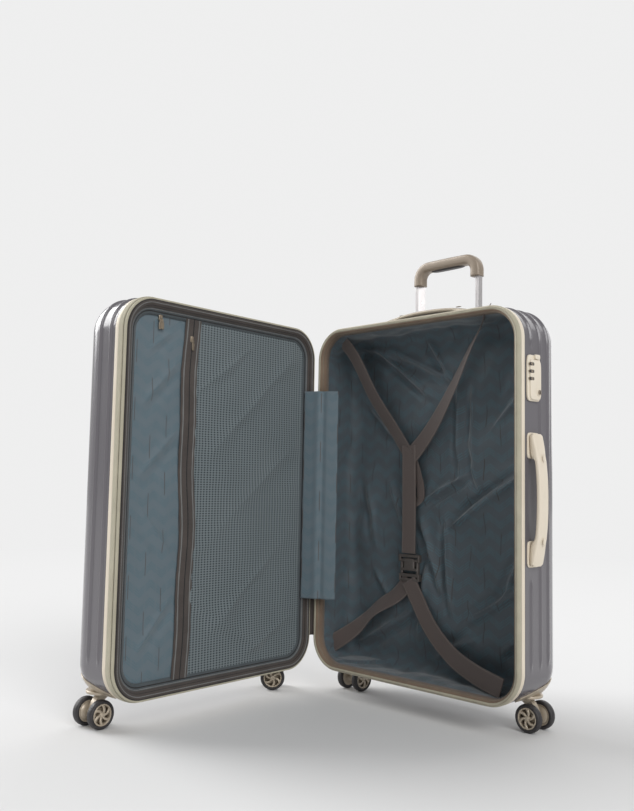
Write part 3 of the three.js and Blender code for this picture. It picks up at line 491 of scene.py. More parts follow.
def rounded_loop(inset_low, inset_high, depth_low, depth_high, radius, steps=4):
    """A closed cross-section: a rectangle of insets by depths whose corners are quarter circles."""
    turn = np.linspace(0, math.pi / 2, steps)
    quarter = np.concatenate([turn + corner * math.pi / 2 for corner in range(4)])
    centre_i = np.repeat([inset_high - radius, inset_low + radius, inset_low + radius,
                          inset_high - radius], steps)
    centre_d = np.repeat([depth_high - radius, depth_high - radius, depth_low + radius,
                          depth_low + radius], steps)
    return centre_i + radius * np.cos(quarter), centre_d + radius * np.sin(quarter)


def sheet_loop(line, thick):
    """A closed cross-section: a line of (inset, depth) points with a second side that far behind."""
    line = np.array(line, float)
    run = np.gradient(line, axis=0)
    run /= np.linalg.norm(run, axis=1)[:, None]
    behind = line + thick * np.stack([-run[:, 1], run[:, 0]], -1)
    loop = np.concatenate([line, behind[::-1]])
    return loop[:, 0], loop[:, 1]


def trim(name, place, loop):
    """A cross-section carried round the outline: inset goes against its normal and depth behind."""
    s, z, normal_s, normal_z, _ = outline(OUTLINE_COLUMNS)
    inset, depth = (np.asarray(value)[:, None] for value in loop)
    grid = place(s - inset * normal_s, depth + 0 * s, z - inset * normal_z)
    return grid_object(name, grid, wrap_rows=True, wrap_columns=True)


def coil(name, place, inset, depth, radius, pitch=COIL_PITCH, lean=0.7):
    """A zip coil round the outline: a round cord whose radius swells once in every pitch.

    The swell is the absolute sine of the distance walked, and it leans across the cord.
    """
    round_trip = outline(8)[4][-1] * 8 / 7
    count = int(round_trip / pitch) * 4
    s, z, normal_s, normal_z, walked = outline(count)
    turn = (np.arange(8) / 8 * 2 * math.pi)[:, None]
    swell = radius * (0.72 + 0.36 * np.abs(np.sin(math.pi * walked / pitch + lean * np.cos(turn))))
    grid_inset = inset + swell * np.cos(turn)
    grid_depth = depth + swell * np.sin(turn)
    grid = place(s - grid_inset * normal_s, grid_depth, z - grid_inset * normal_z)
    return grid_object(name, grid, wrap_rows=True, wrap_columns=True)


def moulded_cream():
    """Satin moulded plastic, a little yellowed in slow patches, with a fine grain."""
    material = node_material("cream_moulding", (0.72, 0.64, 0.52), 0.42, coat=0.08)
    nodes = Nodes(material)
    where = nodes.place()
    cloud = nodes.span(nodes.noise(where, 9.0, 3.0), 0.35, 0.65)
    nodes.lead(nodes.blend(cloud, (0.70, 0.62, 0.50), (0.76, 0.69, 0.575)), "Base Color")
    nodes.lead(nodes.span(nodes.noise(where, 90.0, 3.0), 0.3, 0.7, 0.36, 0.5), "Roughness")
    nodes.bump(nodes.noise(where, 2200.0), 0.00004, 0.4)
    return material


def woven_tape(name, colour, shade, ribs=1400.0):
    """A woven tape: fine threads across two directions, told by sine waves of the place."""
    material = node_material(name, colour, 0.82, sheen=0.15, specular=0.3)
    nodes = Nodes(material)
    where = nodes.place()
    parts = nodes.add("ShaderNodeSeparateXYZ", {0: where}).outputs
    across = nodes.maths("SINE", nodes.maths("MULTIPLY", nodes.maths("ADD", parts[0], parts[1]),
                                             ribs * 4))
    height = nodes.maths("SINE", nodes.maths("MULTIPLY", parts[2], ribs * 4))
    weave = nodes.maths("MULTIPLY", across, height)
    fade = nodes.maths("ADD", nodes.span(weave, -1.0, 1.0, 0.0, 0.6),
                       nodes.span(nodes.noise(where, 30.0, 4.0), 0.3, 0.7, 0.0, 0.4))
    nodes.lead(nodes.blend(fade, shade, colour), "Base Color")
    nodes.bump(weave, 0.00015, 0.7)
    return material


cream = moulded_cream()
beige_tape = woven_tape("beige_zip_tape", (0.50, 0.47, 0.36), (0.36, 0.33, 0.25))
taupe_tape = woven_tape("taupe_zip_tape", (0.085, 0.07, 0.062), (0.045, 0.038, 0.035))
# The brown of the back's inner tape and of the whipped thread is painted shade of the mouth's inner wall.
shaded_brown_tape = woven_tape("brown_inner_tape", (0.25, 0.18, 0.125), (0.15, 0.105, 0.075))
slate_tape = woven_tape("slate_inner_tape", (0.085, 0.10, 0.108), (0.05, 0.06, 0.066))
shaded_whipping = woven_tape("whipped_thread", (0.26, 0.21, 0.155), (0.13, 0.10, 0.075), 900.0)
nylon = woven_tape("nylon_coil", (0.42, 0.38, 0.30), (0.24, 0.21, 0.165), 900.0)
black_nylon = woven_tape("black_nylon_coil", (0.028, 0.025, 0.025), (0.014, 0.013, 0.013), 900.0)
piping_cloth = woven_tape("grey_piping", (0.20, 0.20, 0.195), (0.12, 0.12, 0.118), 1100.0)

finish_piece(trim("back_cream_band", on_back, rounded_loop(-1.2, 7.8, 11.2, 22.8, 2.6)), cream,
             "back_half", "cream_band", "back_rim_band")
tape_back = finish_piece(trim("back_tape", on_back, sheet_loop(
    [(0.3, 11.0), (-0.1, 8.0), (0.0, 4.0), (1.2, 2.1), (3.4, 1.7), (5.4, 2.5)], -1.4)),
    beige_tape, "back_half", "zip_tape_beige", "back_zip_tape")
# Inner tape of the back half, coloured brown as painted shade.
inner_back = finish_piece(trim("back_inner_tape", on_back, sheet_loop(
    [(5.2, 2.4), (6.5, 3.2), (8.6, 6.5), (9.4, 12.0), (9.6, 22.0)], -1.4)),
    shaded_brown_tape, "back_half", "zip_tape_taupe")
finish_piece(coil("back_seam_cord", on_back, 0.6, 10.9, 0.8, 3.0), taupe_tape, "back_half",
             "zip_tape_taupe")
finish_piece(coil("back_closing_coil", on_back, 2.2, 1.5, 1.35), nylon, "back_half",
             "zip_tape_beige")
# Whipped binding, coloured brown as painted shade.
finish_piece(coil("back_whipped_binding", on_back, 9.2, 6.6, 1.6, 4.4, 1.3), shaded_whipping, "back_half",
             "zip_tape_taupe")

finish_piece(trim("lid_cream_band", on_lid, rounded_loop(-1.2, 7.8, 19.4, 31.1, 2.6)), cream,
             "lid", "cream_band", "lid_rim_band")
finish_piece(trim("lid_expander_tape", on_lid, sheet_loop(
    [(0.4, 19.2), (0.0, 17.6), (0.5, 14.0), (0.2, 10.4), (0.5, 8.6)], -2.2)),
    beige_tape, "lid", "zip_tape_beige", "lid_expander_band")
for part, inset, depth, size, cloth, slot in (
        ("upper", 0.2, 18.6, 0.9, nylon, "zip_tape_beige"),
        ("lower", 0.0, 16.6, 0.9, nylon, "zip_tape_beige"),
        ("seam", 0.7, 8.4, 0.8, taupe_tape, "zip_tape_taupe")):
    finish_piece(coil(f"lid_expander_{part}_cord", on_lid, inset, depth, size, 2.6), cloth, "lid", slot)
finish_piece(trim("lid_cream_lip", on_lid, rounded_loop(-0.4, 4.0, 2.0, 8.0, 1.4)), beige_tape,
             "lid", "cream_band")
tape_lid = finish_piece(trim("lid_tape", on_lid, sheet_loop(
    [(3.4, 4.0), (4.0, 2.4), (5.4, 1.8), (7.0, 1.9), (9.0, 2.6), (13.0, 4.6), (16.0, 7.5),
     (17.0, 8.5)], -1.2)), taupe_tape, "lid", "zip_tape_taupe", "lid_zip_tape")
inner_lid = finish_piece(trim("lid_inner_tape", on_lid, sheet_loop(
    [(16.6, 8.1), (19.0, 10.5), (25.0, 12.8), (29.0, 14.2)], -1.2)), slate_tape, "lid",
    "zip_tape_taupe")
for part, inset, depth, size, cloth, pitch in (
        ("closing_coil", 4.6, 1.7, 1.35, black_nylon, COIL_PITCH),
        ("piping", 8.6, 1.9, 1.2, piping_cloth, 5.0),
        ("gutter_cord", 13.5, 4.4, 1.0, black_nylon, COIL_PITCH),
        ("divider_piping", 18.6, 9.6, 1.4, piping_cloth, 5.0),
        ("divider_coil", 22.6, 11.4, 1.4, black_nylon, COIL_PITCH)):
    finish_piece(coil(f"lid_{part}", on_lid, inset, depth, size, pitch), cloth, "lid",
                 "zip_tape_taupe")

# ---- Lining of the back half ----------------------------------------------------------------
# A loose bag of jacquard cloth is sewn to the mouth and hangs against the shell. It is woven
# with teal chevrons and short brown dashes, and it lies in sharp diagonal folds. The bag takes a
# copy of the weave with darker ground colours, painted shade inside the back half; the lid and
# the gusset take the lit copy.
LINING_INSET = 10.5
LINING_FLOOR = 104.0
LINING_EDGE = 26.0
LINING_START = 14.0
LINING_CLEAR = 5.0
FOLD_LIMIT = 13.0
CELL_WIDE = 0.024
CELL_HIGH = 0.031
V_LINES = (-0.004, 0.001, 0.006)
V_REACH = 0.0105


def crease(u, v, start, end, width, height):
    """A fold from start to end: a crest that falls off exponentially, with a valley on one side."""
    start, end = np.array(start, float), np.array(end, float)
    run = end - start
    length = np.hypot(*run)
    along = np.clip(((u - start[0]) * run[0] + (v - start[1]) * run[1]) / length ** 2, 0, 1)
    side = ((u - start[0]) * run[1] - (v - start[1]) * run[0]) / length
    beyond = np.hypot(u - start[0] - along * run[0], v - start[1] - along * run[1])
    near = np.exp(-np.maximum(beyond ** 2 - side ** 2, 0) / (2 * width ** 2))
    ends = np.sqrt(np.clip(np.sin(math.pi * np.clip(along, 0.02, 0.98)), 0, 1))
    crest = np.sqrt((side / width) ** 2 + 0.02)
    bell = np.exp(-1.7 * crest) * 1.2 - 0.55 * np.exp(-((side - 1.9 * width) / width) ** 2)
    return height * bell * ends * near


def ripples(u, v, seed, size, height, count=14):
    """A soft unevenness: a sum of sine waves in seeded directions, of about that size."""
    draw = np.random.default_rng(seed)
    total = np.zeros(np.broadcast(u, v).shape)
    for angle, phase, stretch in zip(draw.uniform(0, math.pi, count),
                                     draw.uniform(0, 2 * math.pi, count),
                                     draw.uniform(0.6, 1.8, count)):
        wave = (u * math.cos(angle) + v * math.sin(angle)) * 2 * math.pi / (size * stretch)
        total += np.sin(wave + phase + 0.8 * np.sin(wave * 0.37 + phase))
    return height * total / math.sqrt(count)


def set_uv(piece, u, v):
    """Writes a UV map, in metres, from one pair of values for each place of the mesh."""
    layer = piece.data.uv_layers.new(name="cloth")
    corner = np.zeros(len(piece.data.loops), dtype=np.int32)
    piece.data.loops.foreach_get("vertex_index", corner)
    pair = np.stack([u.ravel()[corner], v.ravel()[corner]], -1) / 1000
    layer.data.foreach_set("uv", pair.astype(np.float32).ravel())


def jacquard(name, light, dark, dash, figure):
    """Plain cloth with a triple V woven in the middle of each cell of a staggered grid.

    A V is where the height in the cell, turned over in every other column, plus a share of the
    distance from the column's middle equals one of three constants. Dashes of brown thread and
    fine upright lines cross the cloth.
    """
    material = node_material(name, light, 0.6, sheen=0.3, specular=0.4)
    nodes = Nodes(material)
    parts = nodes.add("ShaderNodeSeparateXYZ", {0: nodes.uv()}).outputs
    column = nodes.maths("DIVIDE", parts[0], CELL_WIDE)
    odd = nodes.maths("ABSOLUTE", nodes.maths("MODULO", nodes.maths("FLOOR", column), 2.0))
    out = nodes.maths("ABSOLUTE", nodes.maths("SUBTRACT", nodes.maths("FRACT", column), 0.5))
    out = nodes.maths("MULTIPLY", out, CELL_WIDE)
    row = nodes.maths("ADD", nodes.maths("DIVIDE", parts[1], CELL_HIGH),
                      nodes.maths("MULTIPLY", odd, 0.5))
    high = nodes.maths("MULTIPLY", nodes.maths("SUBTRACT", nodes.maths("FRACT", row), 0.5), CELL_HIGH)
    turned_over = nodes.maths("SUBTRACT", nodes.maths("MULTIPLY", odd, 2.0), 1.0)
    level = nodes.maths("ADD", nodes.maths("MULTIPLY", high, turned_over),
                        nodes.maths("MULTIPLY", out, 0.8))
    near = nodes.maths("ABSOLUTE", nodes.maths("SUBTRACT", level, V_LINES[0]))
    for line in V_LINES[1:]:
        near = nodes.maths("MINIMUM", near, nodes.maths("ABSOLUTE", nodes.maths("SUBTRACT", level, line)))
    vee = nodes.maths("MULTIPLY", nodes.span(near, 0.0004, 0.001, 1.0, 0.0),
                      nodes.maths("LESS_THAN", out, V_REACH))
    upright = nodes.span(nodes.maths("SINE", nodes.maths("MULTIPLY", parts[0], 3900.0)), -1.0, 1.0)
    cloud = nodes.noise(nodes.place(), 900.0, 2.0)
    threads = nodes.maths("MULTIPLY", upright, nodes.span(cloud, 0.3, 0.7, 0.1, 0.55))
    cloth = nodes.blend(threads, light, dark)
    cloth = nodes.blend(nodes.maths("MULTIPLY", vee, 0.75), cloth, figure)
    dash_column = nodes.maths("DIVIDE", parts[0], CELL_WIDE * 1.5)
    in_column = nodes.maths("LESS_THAN", nodes.maths("FRACT", dash_column), 0.045)
    shift = nodes.maths("MULTIPLY", nodes.maths("FLOOR", dash_column), 0.37)
    dash_row = nodes.maths("FRACT", nodes.maths("ADD", nodes.maths(
        "DIVIDE", parts[1], CELL_HIGH * 3.3), shift))
    dashes = nodes.maths("MULTIPLY", in_column, nodes.maths("LESS_THAN", dash_row, 0.4))
    nodes.lead(nodes.blend(nodes.maths("MULTIPLY", dashes, 0.8), cloth, dash), "Base Color")
    nodes.lead(nodes.span(vee, 0.0, 1.0, 0.6, 0.42), "Roughness")
    nodes.bump(nodes.maths("SUBTRACT", nodes.maths("MULTIPLY", upright, 0.4), vee), 0.0002, 0.6)
    return material


lining_cloth = jacquard("chevron_jacquard", (0.115, 0.155, 0.18), (0.07, 0.09, 0.104),
                        (0.062, 0.048, 0.042), (0.042, 0.11, 0.142))
# A darker copy of the same weave for the bag: painted shade inside the back half.
shaded_bag_cloth = jacquard("chevron_jacquard_of_bag", (0.077, 0.098, 0.114), (0.044, 0.054, 0.062),
                     (0.04, 0.03, 0.027), (0.06, 0.15, 0.19))
FLOOR_CREASES = [
    ((80, 720), (235, 608), 7, 14), ((108, 722), (285, 638), 8, 12), ((222, 728), (285, 638), 6, 9),
    ((297, 618), (304, 447), 6, 10), ((440, 447), (272, 340), 8, 15), ((210, 395), (316, 447), 7, 10),
    ((267, 350), (285, 186), 6, 12), ((205, 360), (267, 214), 7, 11), ((440, 238), (316, 163), 8, 11),
    ((40, 90), (197, 180), 9, 11), ((334, 467), (358, 419), 6, 8), ((329, 625), (341, 447), 9, 9),
    ((86, 246), (127, 197), 6, 8), ((25, 738), (150, 694), 8, 9), ((60, 600), (150, 520), 8, 7),
    ((180, 320), (120, 430), 8, 6), ((470, 620), (380, 540), 9, 8), ((460, 330), (400, 210), 8, 8),
    ((230, 300), (205, 130), 7, 8), ((340, 140), (250, 90), 8, 9), ((400, 120), (470, 180), 8, 8),
    ((60, 430), (90, 300), 9, 6)]


def hung_cloth(u, v, creases, seed, height):
    """How far hung cloth stands off its wall: its creases plus ripples of two sizes."""
    stand = ripples(u, v, seed, 160, height) + ripples(u, v, seed + 1, 52, height * 0.35)
    for start, end, width, tall in creases:
        stand += crease(u, v, start, end, width, tall)
    return stand


def lining_bag():
    """The bag: down the inside of the outline, round a quarter circle and across the floor.

    Places are moved toward the inside by the hung cloth's height, which is nothing at the seam.
    """
    s, z, normal_s, normal_z, _ = outline(OUTLINE_COLUMNS)
    side = np.linspace(LINING_START, LINING_FLOOR - LINING_EDGE, 26)
    turn = np.linspace(0, math.pi / 2, 9)[1:]
    flat = np.linspace(0, 1, 76)[1:]
    inset = np.concatenate([np.full(len(side), LINING_INSET),
                            LINING_INSET + LINING_EDGE * (1 - np.cos(turn)),
                            np.full(len(flat), LINING_INSET + LINING_EDGE)])[:, None]
    depth = np.concatenate([side, LINING_FLOOR - LINING_EDGE * (1 - np.sin(turn)),
                            np.full(len(flat), LINING_FLOOR)])[:, None]
    draw = np.concatenate([np.zeros(len(side) + len(turn)), flat])[:, None]
    lean = np.concatenate([np.zeros(len(side)), turn, np.full(len(flat), math.pi / 2)])[:, None]
    away = np.concatenate([LINING_FLOOR - side, LINING_EDGE * (math.pi / 2 - turn) * 0.6,
                           np.zeros(len(flat))])[:, None]
    ring_s, ring_z = s - inset * normal_s, z - inset * normal_z
    ring_s = ring_s + (MIDDLE - ring_s) * draw
    ring_z = ring_z + ((TOP + BOTTOM) / 2 - ring_z) * draw
    u, v = ring_s + away * normal_s, ring_z + away * normal_z
    stand = hung_cloth(u, v, FLOOR_CREASES, 3, 3.0) * ease(depth, 16, 45)
    stand = FOLD_LIMIT * np.tanh(1.45 * stand / FOLD_LIMIT)
    out_s = ring_s - stand * np.cos(lean) * normal_s
    out_z = ring_z - stand * np.cos(lean) * normal_z
    out_d = depth - stand * np.sin(lean)
    out_z = over_wells(out_s, out_d, out_z, BACK_PIVOT, LINING_CLEAR)
    return on_back(out_s, out_d, out_z), u, v


bag, bag_u, bag_v = lining_bag()
lining = grid_object("chevron_lining", bag, wrap_columns=True, closed=False, flip=True)
set_uv(lining, bag_u, bag_v)
# The bag takes the darker copy of the cloth, whose colours paint the shade inside the back half.
finish_piece(lining, shaded_bag_cloth, "back_half", "lining", "back_lining")

# ---- Divider and mesh pocket of the lid -----------------------------------------------------
# A stiffened jacquard panel is zipped all round inside the lid. A fine mesh pocket covers the
# hinge side of it, closed by a zip on a wavy upright tape, and both sliders have a metal pull.
DIVIDER_INSET = 24.0
DIVIDER_DEPTH = 16.0
POCKET_DEPTH = 13.2
ZIP_ACROSS = 346.0
TAPE_HALF = 19.0
NET_TURN = 700.0
NET_STRETCH = 0.6
COVERED_STAND, OPEN_STAND = 1.1, 5.0


def side_at(z, inset, sign):
    """The outline's s at height z, moved in by inset: straight, with quarter-circle corners."""
    radius = CORNER - inset
    beyond = np.maximum(BOTTOM + CORNER - z, 0) + np.maximum(z - TOP + CORNER, 0)
    pull = radius - np.sqrt(np.maximum(radius ** 2 - np.minimum(beyond, radius) ** 2, 0))
    return RIGHT - inset - pull if sign > 0 else LEFT + inset + pull


def zip_wave(z):
    """Where the pocket's zip runs: two slow sine waves about its middle."""
    return ZIP_ACROSS + 3.2 * np.sin(z / 74 + 0.6) + 1.8 * np.sin(z / 31)


def open_mesh(name):
    """Fine net: two sets of sine threads across each other, lighter than what is behind them. The holes are
    painted near black, painted shade of the space behind the net.
    """
    material = node_material(name, (0.13, 0.165, 0.18), 0.7, sheen=0.2, specular=0.3)
    nodes = Nodes(material)
    parts = nodes.add("ShaderNodeSeparateXYZ", {0: nodes.uv()}).outputs
    wide = nodes.maths("MULTIPLY", parts[0], NET_STRETCH)
    one = nodes.maths("SINE", nodes.maths("MULTIPLY", nodes.maths("ADD", wide, parts[1]), NET_TURN))
    two = nodes.maths("SINE", nodes.maths("MULTIPLY", nodes.maths("SUBTRACT", wide, parts[1]), NET_TURN))
    hole = nodes.span(nodes.maths("MULTIPLY", one, two), 0.0, 0.55)
    cloud = nodes.span(nodes.noise(nodes.place(), 6.0, 3.0), 0.35, 0.65, 0.0, 0.3)
    net = nodes.blend(cloud, (0.16, 0.19, 0.20), (0.115, 0.142, 0.152))
    # The holes take a near-black colour: painted shade of the space behind the net.
    nodes.lead(nodes.blend(hole, net, (0.022, 0.031, 0.037)), "Base Color")
    nodes.bump(hole, 0.0002, 0.5)
    return material


def sheet_between(name, place, left_edge, right_edge, rows, columns, depth, creases, seed, height,
                  inset, lowest, covered_to):
    """A cloth whose rows run from one edge curve to another at evenly spaced heights.

    Its depth is a constant less the hung cloth's height, which is nothing along all the edges,
    never below lowest, and kept small where another cloth covers it, up to covered_to.
    """
    z = np.linspace(BOTTOM + inset, TOP - inset, rows)[:, None]
    share = np.linspace(0, 1, columns)[None, :]
    s = left_edge(z) + (right_edge(z) - left_edge(z)) * share
    z = z + 0 * s
    stand = hung_cloth(s, z, creases, seed, height)
    calm = ease(np.minimum(share, 1 - share), 0, 0.08)
    calm = calm * ease(np.minimum(z - BOTTOM, TOP - z), inset, inset + 40)
    most = COVERED_STAND + (OPEN_STAND - COVERED_STAND) * ease(s, covered_to, covered_to + 25)
    stand = np.clip(stand * calm, lowest, most)
    piece = grid_object(name, place(s, depth - stand, z), closed=False)
    set_uv(piece, s, z)
    return piece


def thicken(piece, thickness):
    """Gives a cloth its thickness, on the side away from the mouth."""
    solid = piece.modifiers.new("cloth_thickness", "SOLIDIFY")
    solid.thickness = thickness / 1000
    solid.offset = -1
    return piece


DIVIDER_CREASES = [((380, 640), (455, 560), 9, 4), ((372, 520), (460, 430), 10, 3.5),
                   ((380, 300), (455, 380), 10, 3.5), ((375, 220), (450, 130), 9, 4),
                   ((390, 700), (440, 660), 7, 3)]
POCKET_CREASES = [((60, 690), (300, 470), 16, 3.6), ((40, 520), (310, 300), 20, 3.4),
                  ((60, 330), (300, 130), 17, 3.6), ((180, 700), (330, 590), 12, 3.2),
                  ((50, 160), (220, 80), 13, 3.2), ((120, 90), (330, 210), 15, 3.0)]
divider = sheet_between("divider_cloth", on_lid, lambda z: side_at(z, DIVIDER_INSET, -1),
                        lambda z: side_at(z, DIVIDER_INSET, 1), 220, 150, DIVIDER_DEPTH,
                        DIVIDER_CREASES, 11, 0.9, DIVIDER_INSET, -2.4, ZIP_ACROSS + 12)
finish_piece(thicken(divider, 1.2), lining_cloth, "lid", "lining", "divider_panel")
net = sheet_between("pocket_net", on_lid, lambda z: side_at(z, DIVIDER_INSET, -1), zip_wave, 220,
                    110, POCKET_DEPTH, POCKET_CREASES, 21, 1.3, DIVIDER_INSET, -0.4, 0)
finish_piece(thicken(net, 0.6), open_mesh("pocket_net_cloth"), "lid", "mesh", "mesh_pocket")


def swept(name, path, loop, side, closed=False, ends=True):
    """A cross-section carried along a path: x goes along side, y square to it and to the path.

    side is one direction or one for each point of the path. Each end is drawn in to its middle.
    """
    path, side = np.asarray(path, float), np.broadcast_to(np.asarray(side, float), np.shape(path))
    run = np.gradient(path, axis=0)
    if closed:
        run = np.roll(path, -1, 0) - np.roll(path, 1, 0)
    run /= np.linalg.norm(run, axis=1)[:, None]
    side = side - np.einsum("ij,ij->i", side, run)[:, None] * run
    side /= np.linalg.norm(side, axis=1)[:, None]
    face = np.cross(run, side)
    x, y = (np.asarray(value, float) / 1000 for value in loop)
    x, y = (value if value.ndim == 2 else value[:, None] for value in (x, y))
    grid = path[None] + x[..., None] * side[None] + y[..., None] * face[None]
    if ends:
        first = np.repeat(path[None, :1], len(grid), 0)
        last = np.repeat(path[None, -1:], len(grid), 0)
        grid = np.concatenate([first, grid, last], 1)
    piece = grid_object(name, grid, wrap_rows=True, wrap_columns=closed)
    return weld(piece) if ends else piece


def round_loop(radius, sides=10):
    """A circle, as a cross-section."""
    turn = np.arange(sides) / sides * 2 * math.pi
    return radius * np.cos(turn), radius * np.sin(turn)


def toothed_loop(radius, walked, pitch, sides=8):
    """A circle for each point of a path, whose radius swells once in every pitch."""
    turn = (np.arange(sides) / sides * 2 * math.pi)[:, None]
    swell = radius * (0.72 + 0.36 * np.abs(np.sin(math.pi * walked[None] / pitch + 0.7 * np.cos(turn))))
    return swell * np.cos(turn), swell * np.sin(turn)


zip_z = np.linspace(BOTTOM + DIVIDER_INSET, TOP - DIVIDER_INSET, 340)
tape_share = np.linspace(-1, 1, 25)[:, None]
tape_bow = 1.6 * np.cos(tape_share * math.pi / 2) + 0.5 * np.sin(zip_z / 6) * (tape_share ** 2)
pocket_tape = grid_object("pocket_zip_tape", on_lid(
    zip_wave(zip_z) + TAPE_HALF * tape_share, 12.6 - tape_bow, zip_z), closed=False, flip=True)
finish_piece(thicken(pocket_tape, 0.8), taupe_tape, "lid", "zip_tape_taupe")
for part, offset in (("left", -13.5), ("right", 13.5)):
    line = on_lid(zip_wave(zip_z) + offset, 11.6 + 0 * zip_z, zip_z)
    finish_piece(swept(f"pocket_{part}_piping", line, round_loop(1.5), (0, 0.1, 0)), piping_cloth,
                 "lid", "zip_tape_taupe")
tooth_z = np.arange(zip_z[0], zip_z[-1], COIL_PITCH / 4)
tooth_line = on_lid(zip_wave(tooth_z), 10.9 + 0 * tooth_z, tooth_z)
finish_piece(swept("pocket_zip_coil", tooth_line, toothed_loop(1.6, tooth_z, COIL_PITCH), (0, 0.1, 0)),
             black_nylon, "lid", "zip_tape_taupe")


def squared(value, power):
    """A sine or cosine raised to a power below one, which squares off the circle it draws."""
    return np.sign(value) * np.abs(value) ** power


def bean(place, centre, half, power=0.35, rows=14, columns=28):
    """Grid of a rounded block: a ball whose sines and cosines are raised to a small power."""
    up = np.linspace(-math.pi / 2, math.pi / 2, rows)[:, None]
    turn = (np.arange(columns) / columns * 2 * math.pi)[None]
    ring = squared(np.cos(up), power)
    s = centre[0] + half[0] * ring * squared(np.cos(turn), power)
    d = centre[1] + half[1] * ring * squared(np.sin(turn), power)
    z = centre[2] + half[2] * squared(np.sin(up), power) + 0 * turn
    return place(s, d, z)


def solid_of(name, grids):
    """One object of several closed grids, each turned to face outwards and welded at its poles."""
    verts, faces, start = [], [], 0
    for grid in grids:
        flat = grid.reshape(-1, 3)
        verts.append(flat)
        faces.append(facing_out(flat, grid_faces(*grid.shape[:2], wrap_columns=True)) + start)
        start += len(flat)
    return weld(mesh_object(name, np.concatenate(verts), np.concatenate(faces)))


def brushed_metal(name, colour, roughness=0.3):
    """Plated or anodised metal: fine drawn lines in the roughness along the height."""
    material = node_material(name, colour, roughness, metallic=0.85)
    nodes = Nodes(material)
    stretched = nodes.add("ShaderNodeMapping", {"Vector": nodes.place(), "Scale": (1.0, 1.0, 0.03)})
    lines = nodes.noise(stretched.outputs[0], 1500.0, 2.0)
    nodes.lead(nodes.span(lines, 0.3, 0.7, roughness - 0.08, roughness + 0.12), "Roughness")
    nodes.bump(lines, 0.00003, 0.4)
    return material


pull_metal = brushed_metal("bronze_pull_metal", (0.33, 0.275, 0.21))


def zip_slider(name, body, place, s, depth, top, node, tilts):
    """A slider body on the coil, with a loop and flat tabs that hang from it, each to one side."""
    parts = [bean(place, (s, depth, top - 6), (4.2, 2.6, 6.0), 0.5),
             bean(place, (s, depth - 2.8, top - 5), (1.6, 1.2, 3.6), 0.5)]
    for step, tilt in enumerate(tilts):
        parts.append(bean(place, (s + tilt * 0.6, depth - 3.2 - step, top - 11.5), (2.4, 0.8, 3.0), 0.45))
        parts.append(bean(place, (s + tilt, depth - 3.0 - step, top - 20.5), (2.9, 0.8, 6.8), 0.4))
    return finish_piece(solid_of(name, parts), pull_metal, body, "zip_metal", node)


def lid_place(node):
    """The middle of a CAD node on the lid, as (s, d, z)."""
    middle = (np.array(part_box(node)[0]) + np.array(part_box(node)[1])) / 2 * 1000 - HINGE
    return middle[:2] @ ACROSS_LID, middle[:2] @ BEHIND_LID, middle[2] + HINGE[2]


for slider, body, node, tilts in (
        ("divider_pull", "divider_slider", "divider_zip_slider", (2.4, -2.8)),
        ("pocket_pull", "pocket_slider", "pocket_zip_slider", (-1.8,))):
    s, depth, _ = lid_place(node)
    zip_slider(slider, body, on_lid, s, depth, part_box(node)[1][2] * 1000, node, tilts)

# ---- Hinge gusset and hinge strip -----------------------------------------------------------
# A flap of the lining cloth spans the hinge from one half to the other; the real flap folds when the
# case closes, but here it is one fixed sheet with a fold drawn in. Behind it a taupe tape joins the
# two mouths where the closing zip ends.
PATTERN_ACROSS = 74.0
gusset_low, gusset_high = (corner[2] * 1000 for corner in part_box("hinge_gusset"))
strip_low, strip_high = (corner[2] * 1000 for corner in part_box("hinge_strip"))


def across_hinge(name, reach, lid_reach, depth, bow, low, high, rows, thick, wrinkle):
    """A cloth from one half to the other: a curve through three points, at each height.

    The middle point is the ends' mean moved by bow out of the case, and ripples shake it.
    """
    z = np.linspace(low, high, rows)[:, None]
    share = np.linspace(0, 1, 27)[None]
    start = on_back(reach, depth, z)
    finish = on_lid(lid_reach, depth, z)
    outward = np.array([1.0, -1.0, 0.0]) / math.sqrt(2)
    knee = (start + finish) / 2 + outward * bow / 1000
    mix = share[..., None]
    grid = (1 - mix) ** 2 * start + 2 * mix * (1 - mix) * knee + mix ** 2 * finish
    fold = 3.6 * np.exp(-((share - 0.44) / 0.07) ** 2) - 2.4 * np.exp(-((share - 0.6) / 0.09) ** 2)
    shake = wrinkle * (fold + ripples(share * 60, z, 5, 90, 0.9)) * np.sin(math.pi * share) ** 0.6
    grid = grid - outward * shake[..., None] / 1000
    piece = grid_object(name, grid, closed=False, flip=True)
    set_uv(piece, share * PATTERN_ACROSS + 0 * z, z + 0 * share)
    thicken(piece, thick)
    piece.data.materials.clear()
    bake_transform(piece)
    return piece


gusset = across_hinge("gusset_flap", 60, 30, 7, 9, gusset_low, gusset_high, 120, 1.2, 1.0)
gusset.data.materials.append(lining_cloth)
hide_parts("hinge_gusset")
strip = across_hinge("hinge_tape", 5, 4.3, 3, -7, strip_low, strip_high, 60, 1.2, 0.1)
strip.data.materials.append(taupe_tape)
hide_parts("hinge_strip")

# ---- Cross straps and buckle ----------------------------------------------------------------
# Two webbing arms come down from the upper corners and meet in a doubled strap. Its buckle
# takes the tongue of the lower pair, and each arm is woven, with a line of stitches by its edges.
WEBBING_HALF = 18.0
WEBBING_THICK = 1.8
STRAP_ACROSS = 188.0
STRAP_DEPTH = 90.0
MEET = BOTTOM + 432


def smooth_path(points, count):
    """A smooth line through the points: each coordinate by cubic pieces over the chord length."""
    points = np.array(points, float)
    chord = np.concatenate([[0], np.cumsum(np.linalg.norm(np.diff(points, axis=0), axis=1))])
    slope = np.gradient(points, chord, axis=0)
    at = np.linspace(0, chord[-1], count)
    k = np.clip(np.searchsorted(chord, at, "right") - 1, 0, len(points) - 2)
    span = (chord[k + 1] - chord[k])[:, None]
    t = (at - chord[k])[:, None] / span
    return ((2 * t ** 3 - 3 * t ** 2 + 1) * points[k] + (t ** 3 - 2 * t ** 2 + t) * span * slope[k]
            + (-2 * t ** 3 + 3 * t ** 2) * points[k + 1] + (t ** 3 - t ** 2) * span * slope[k + 1]), at


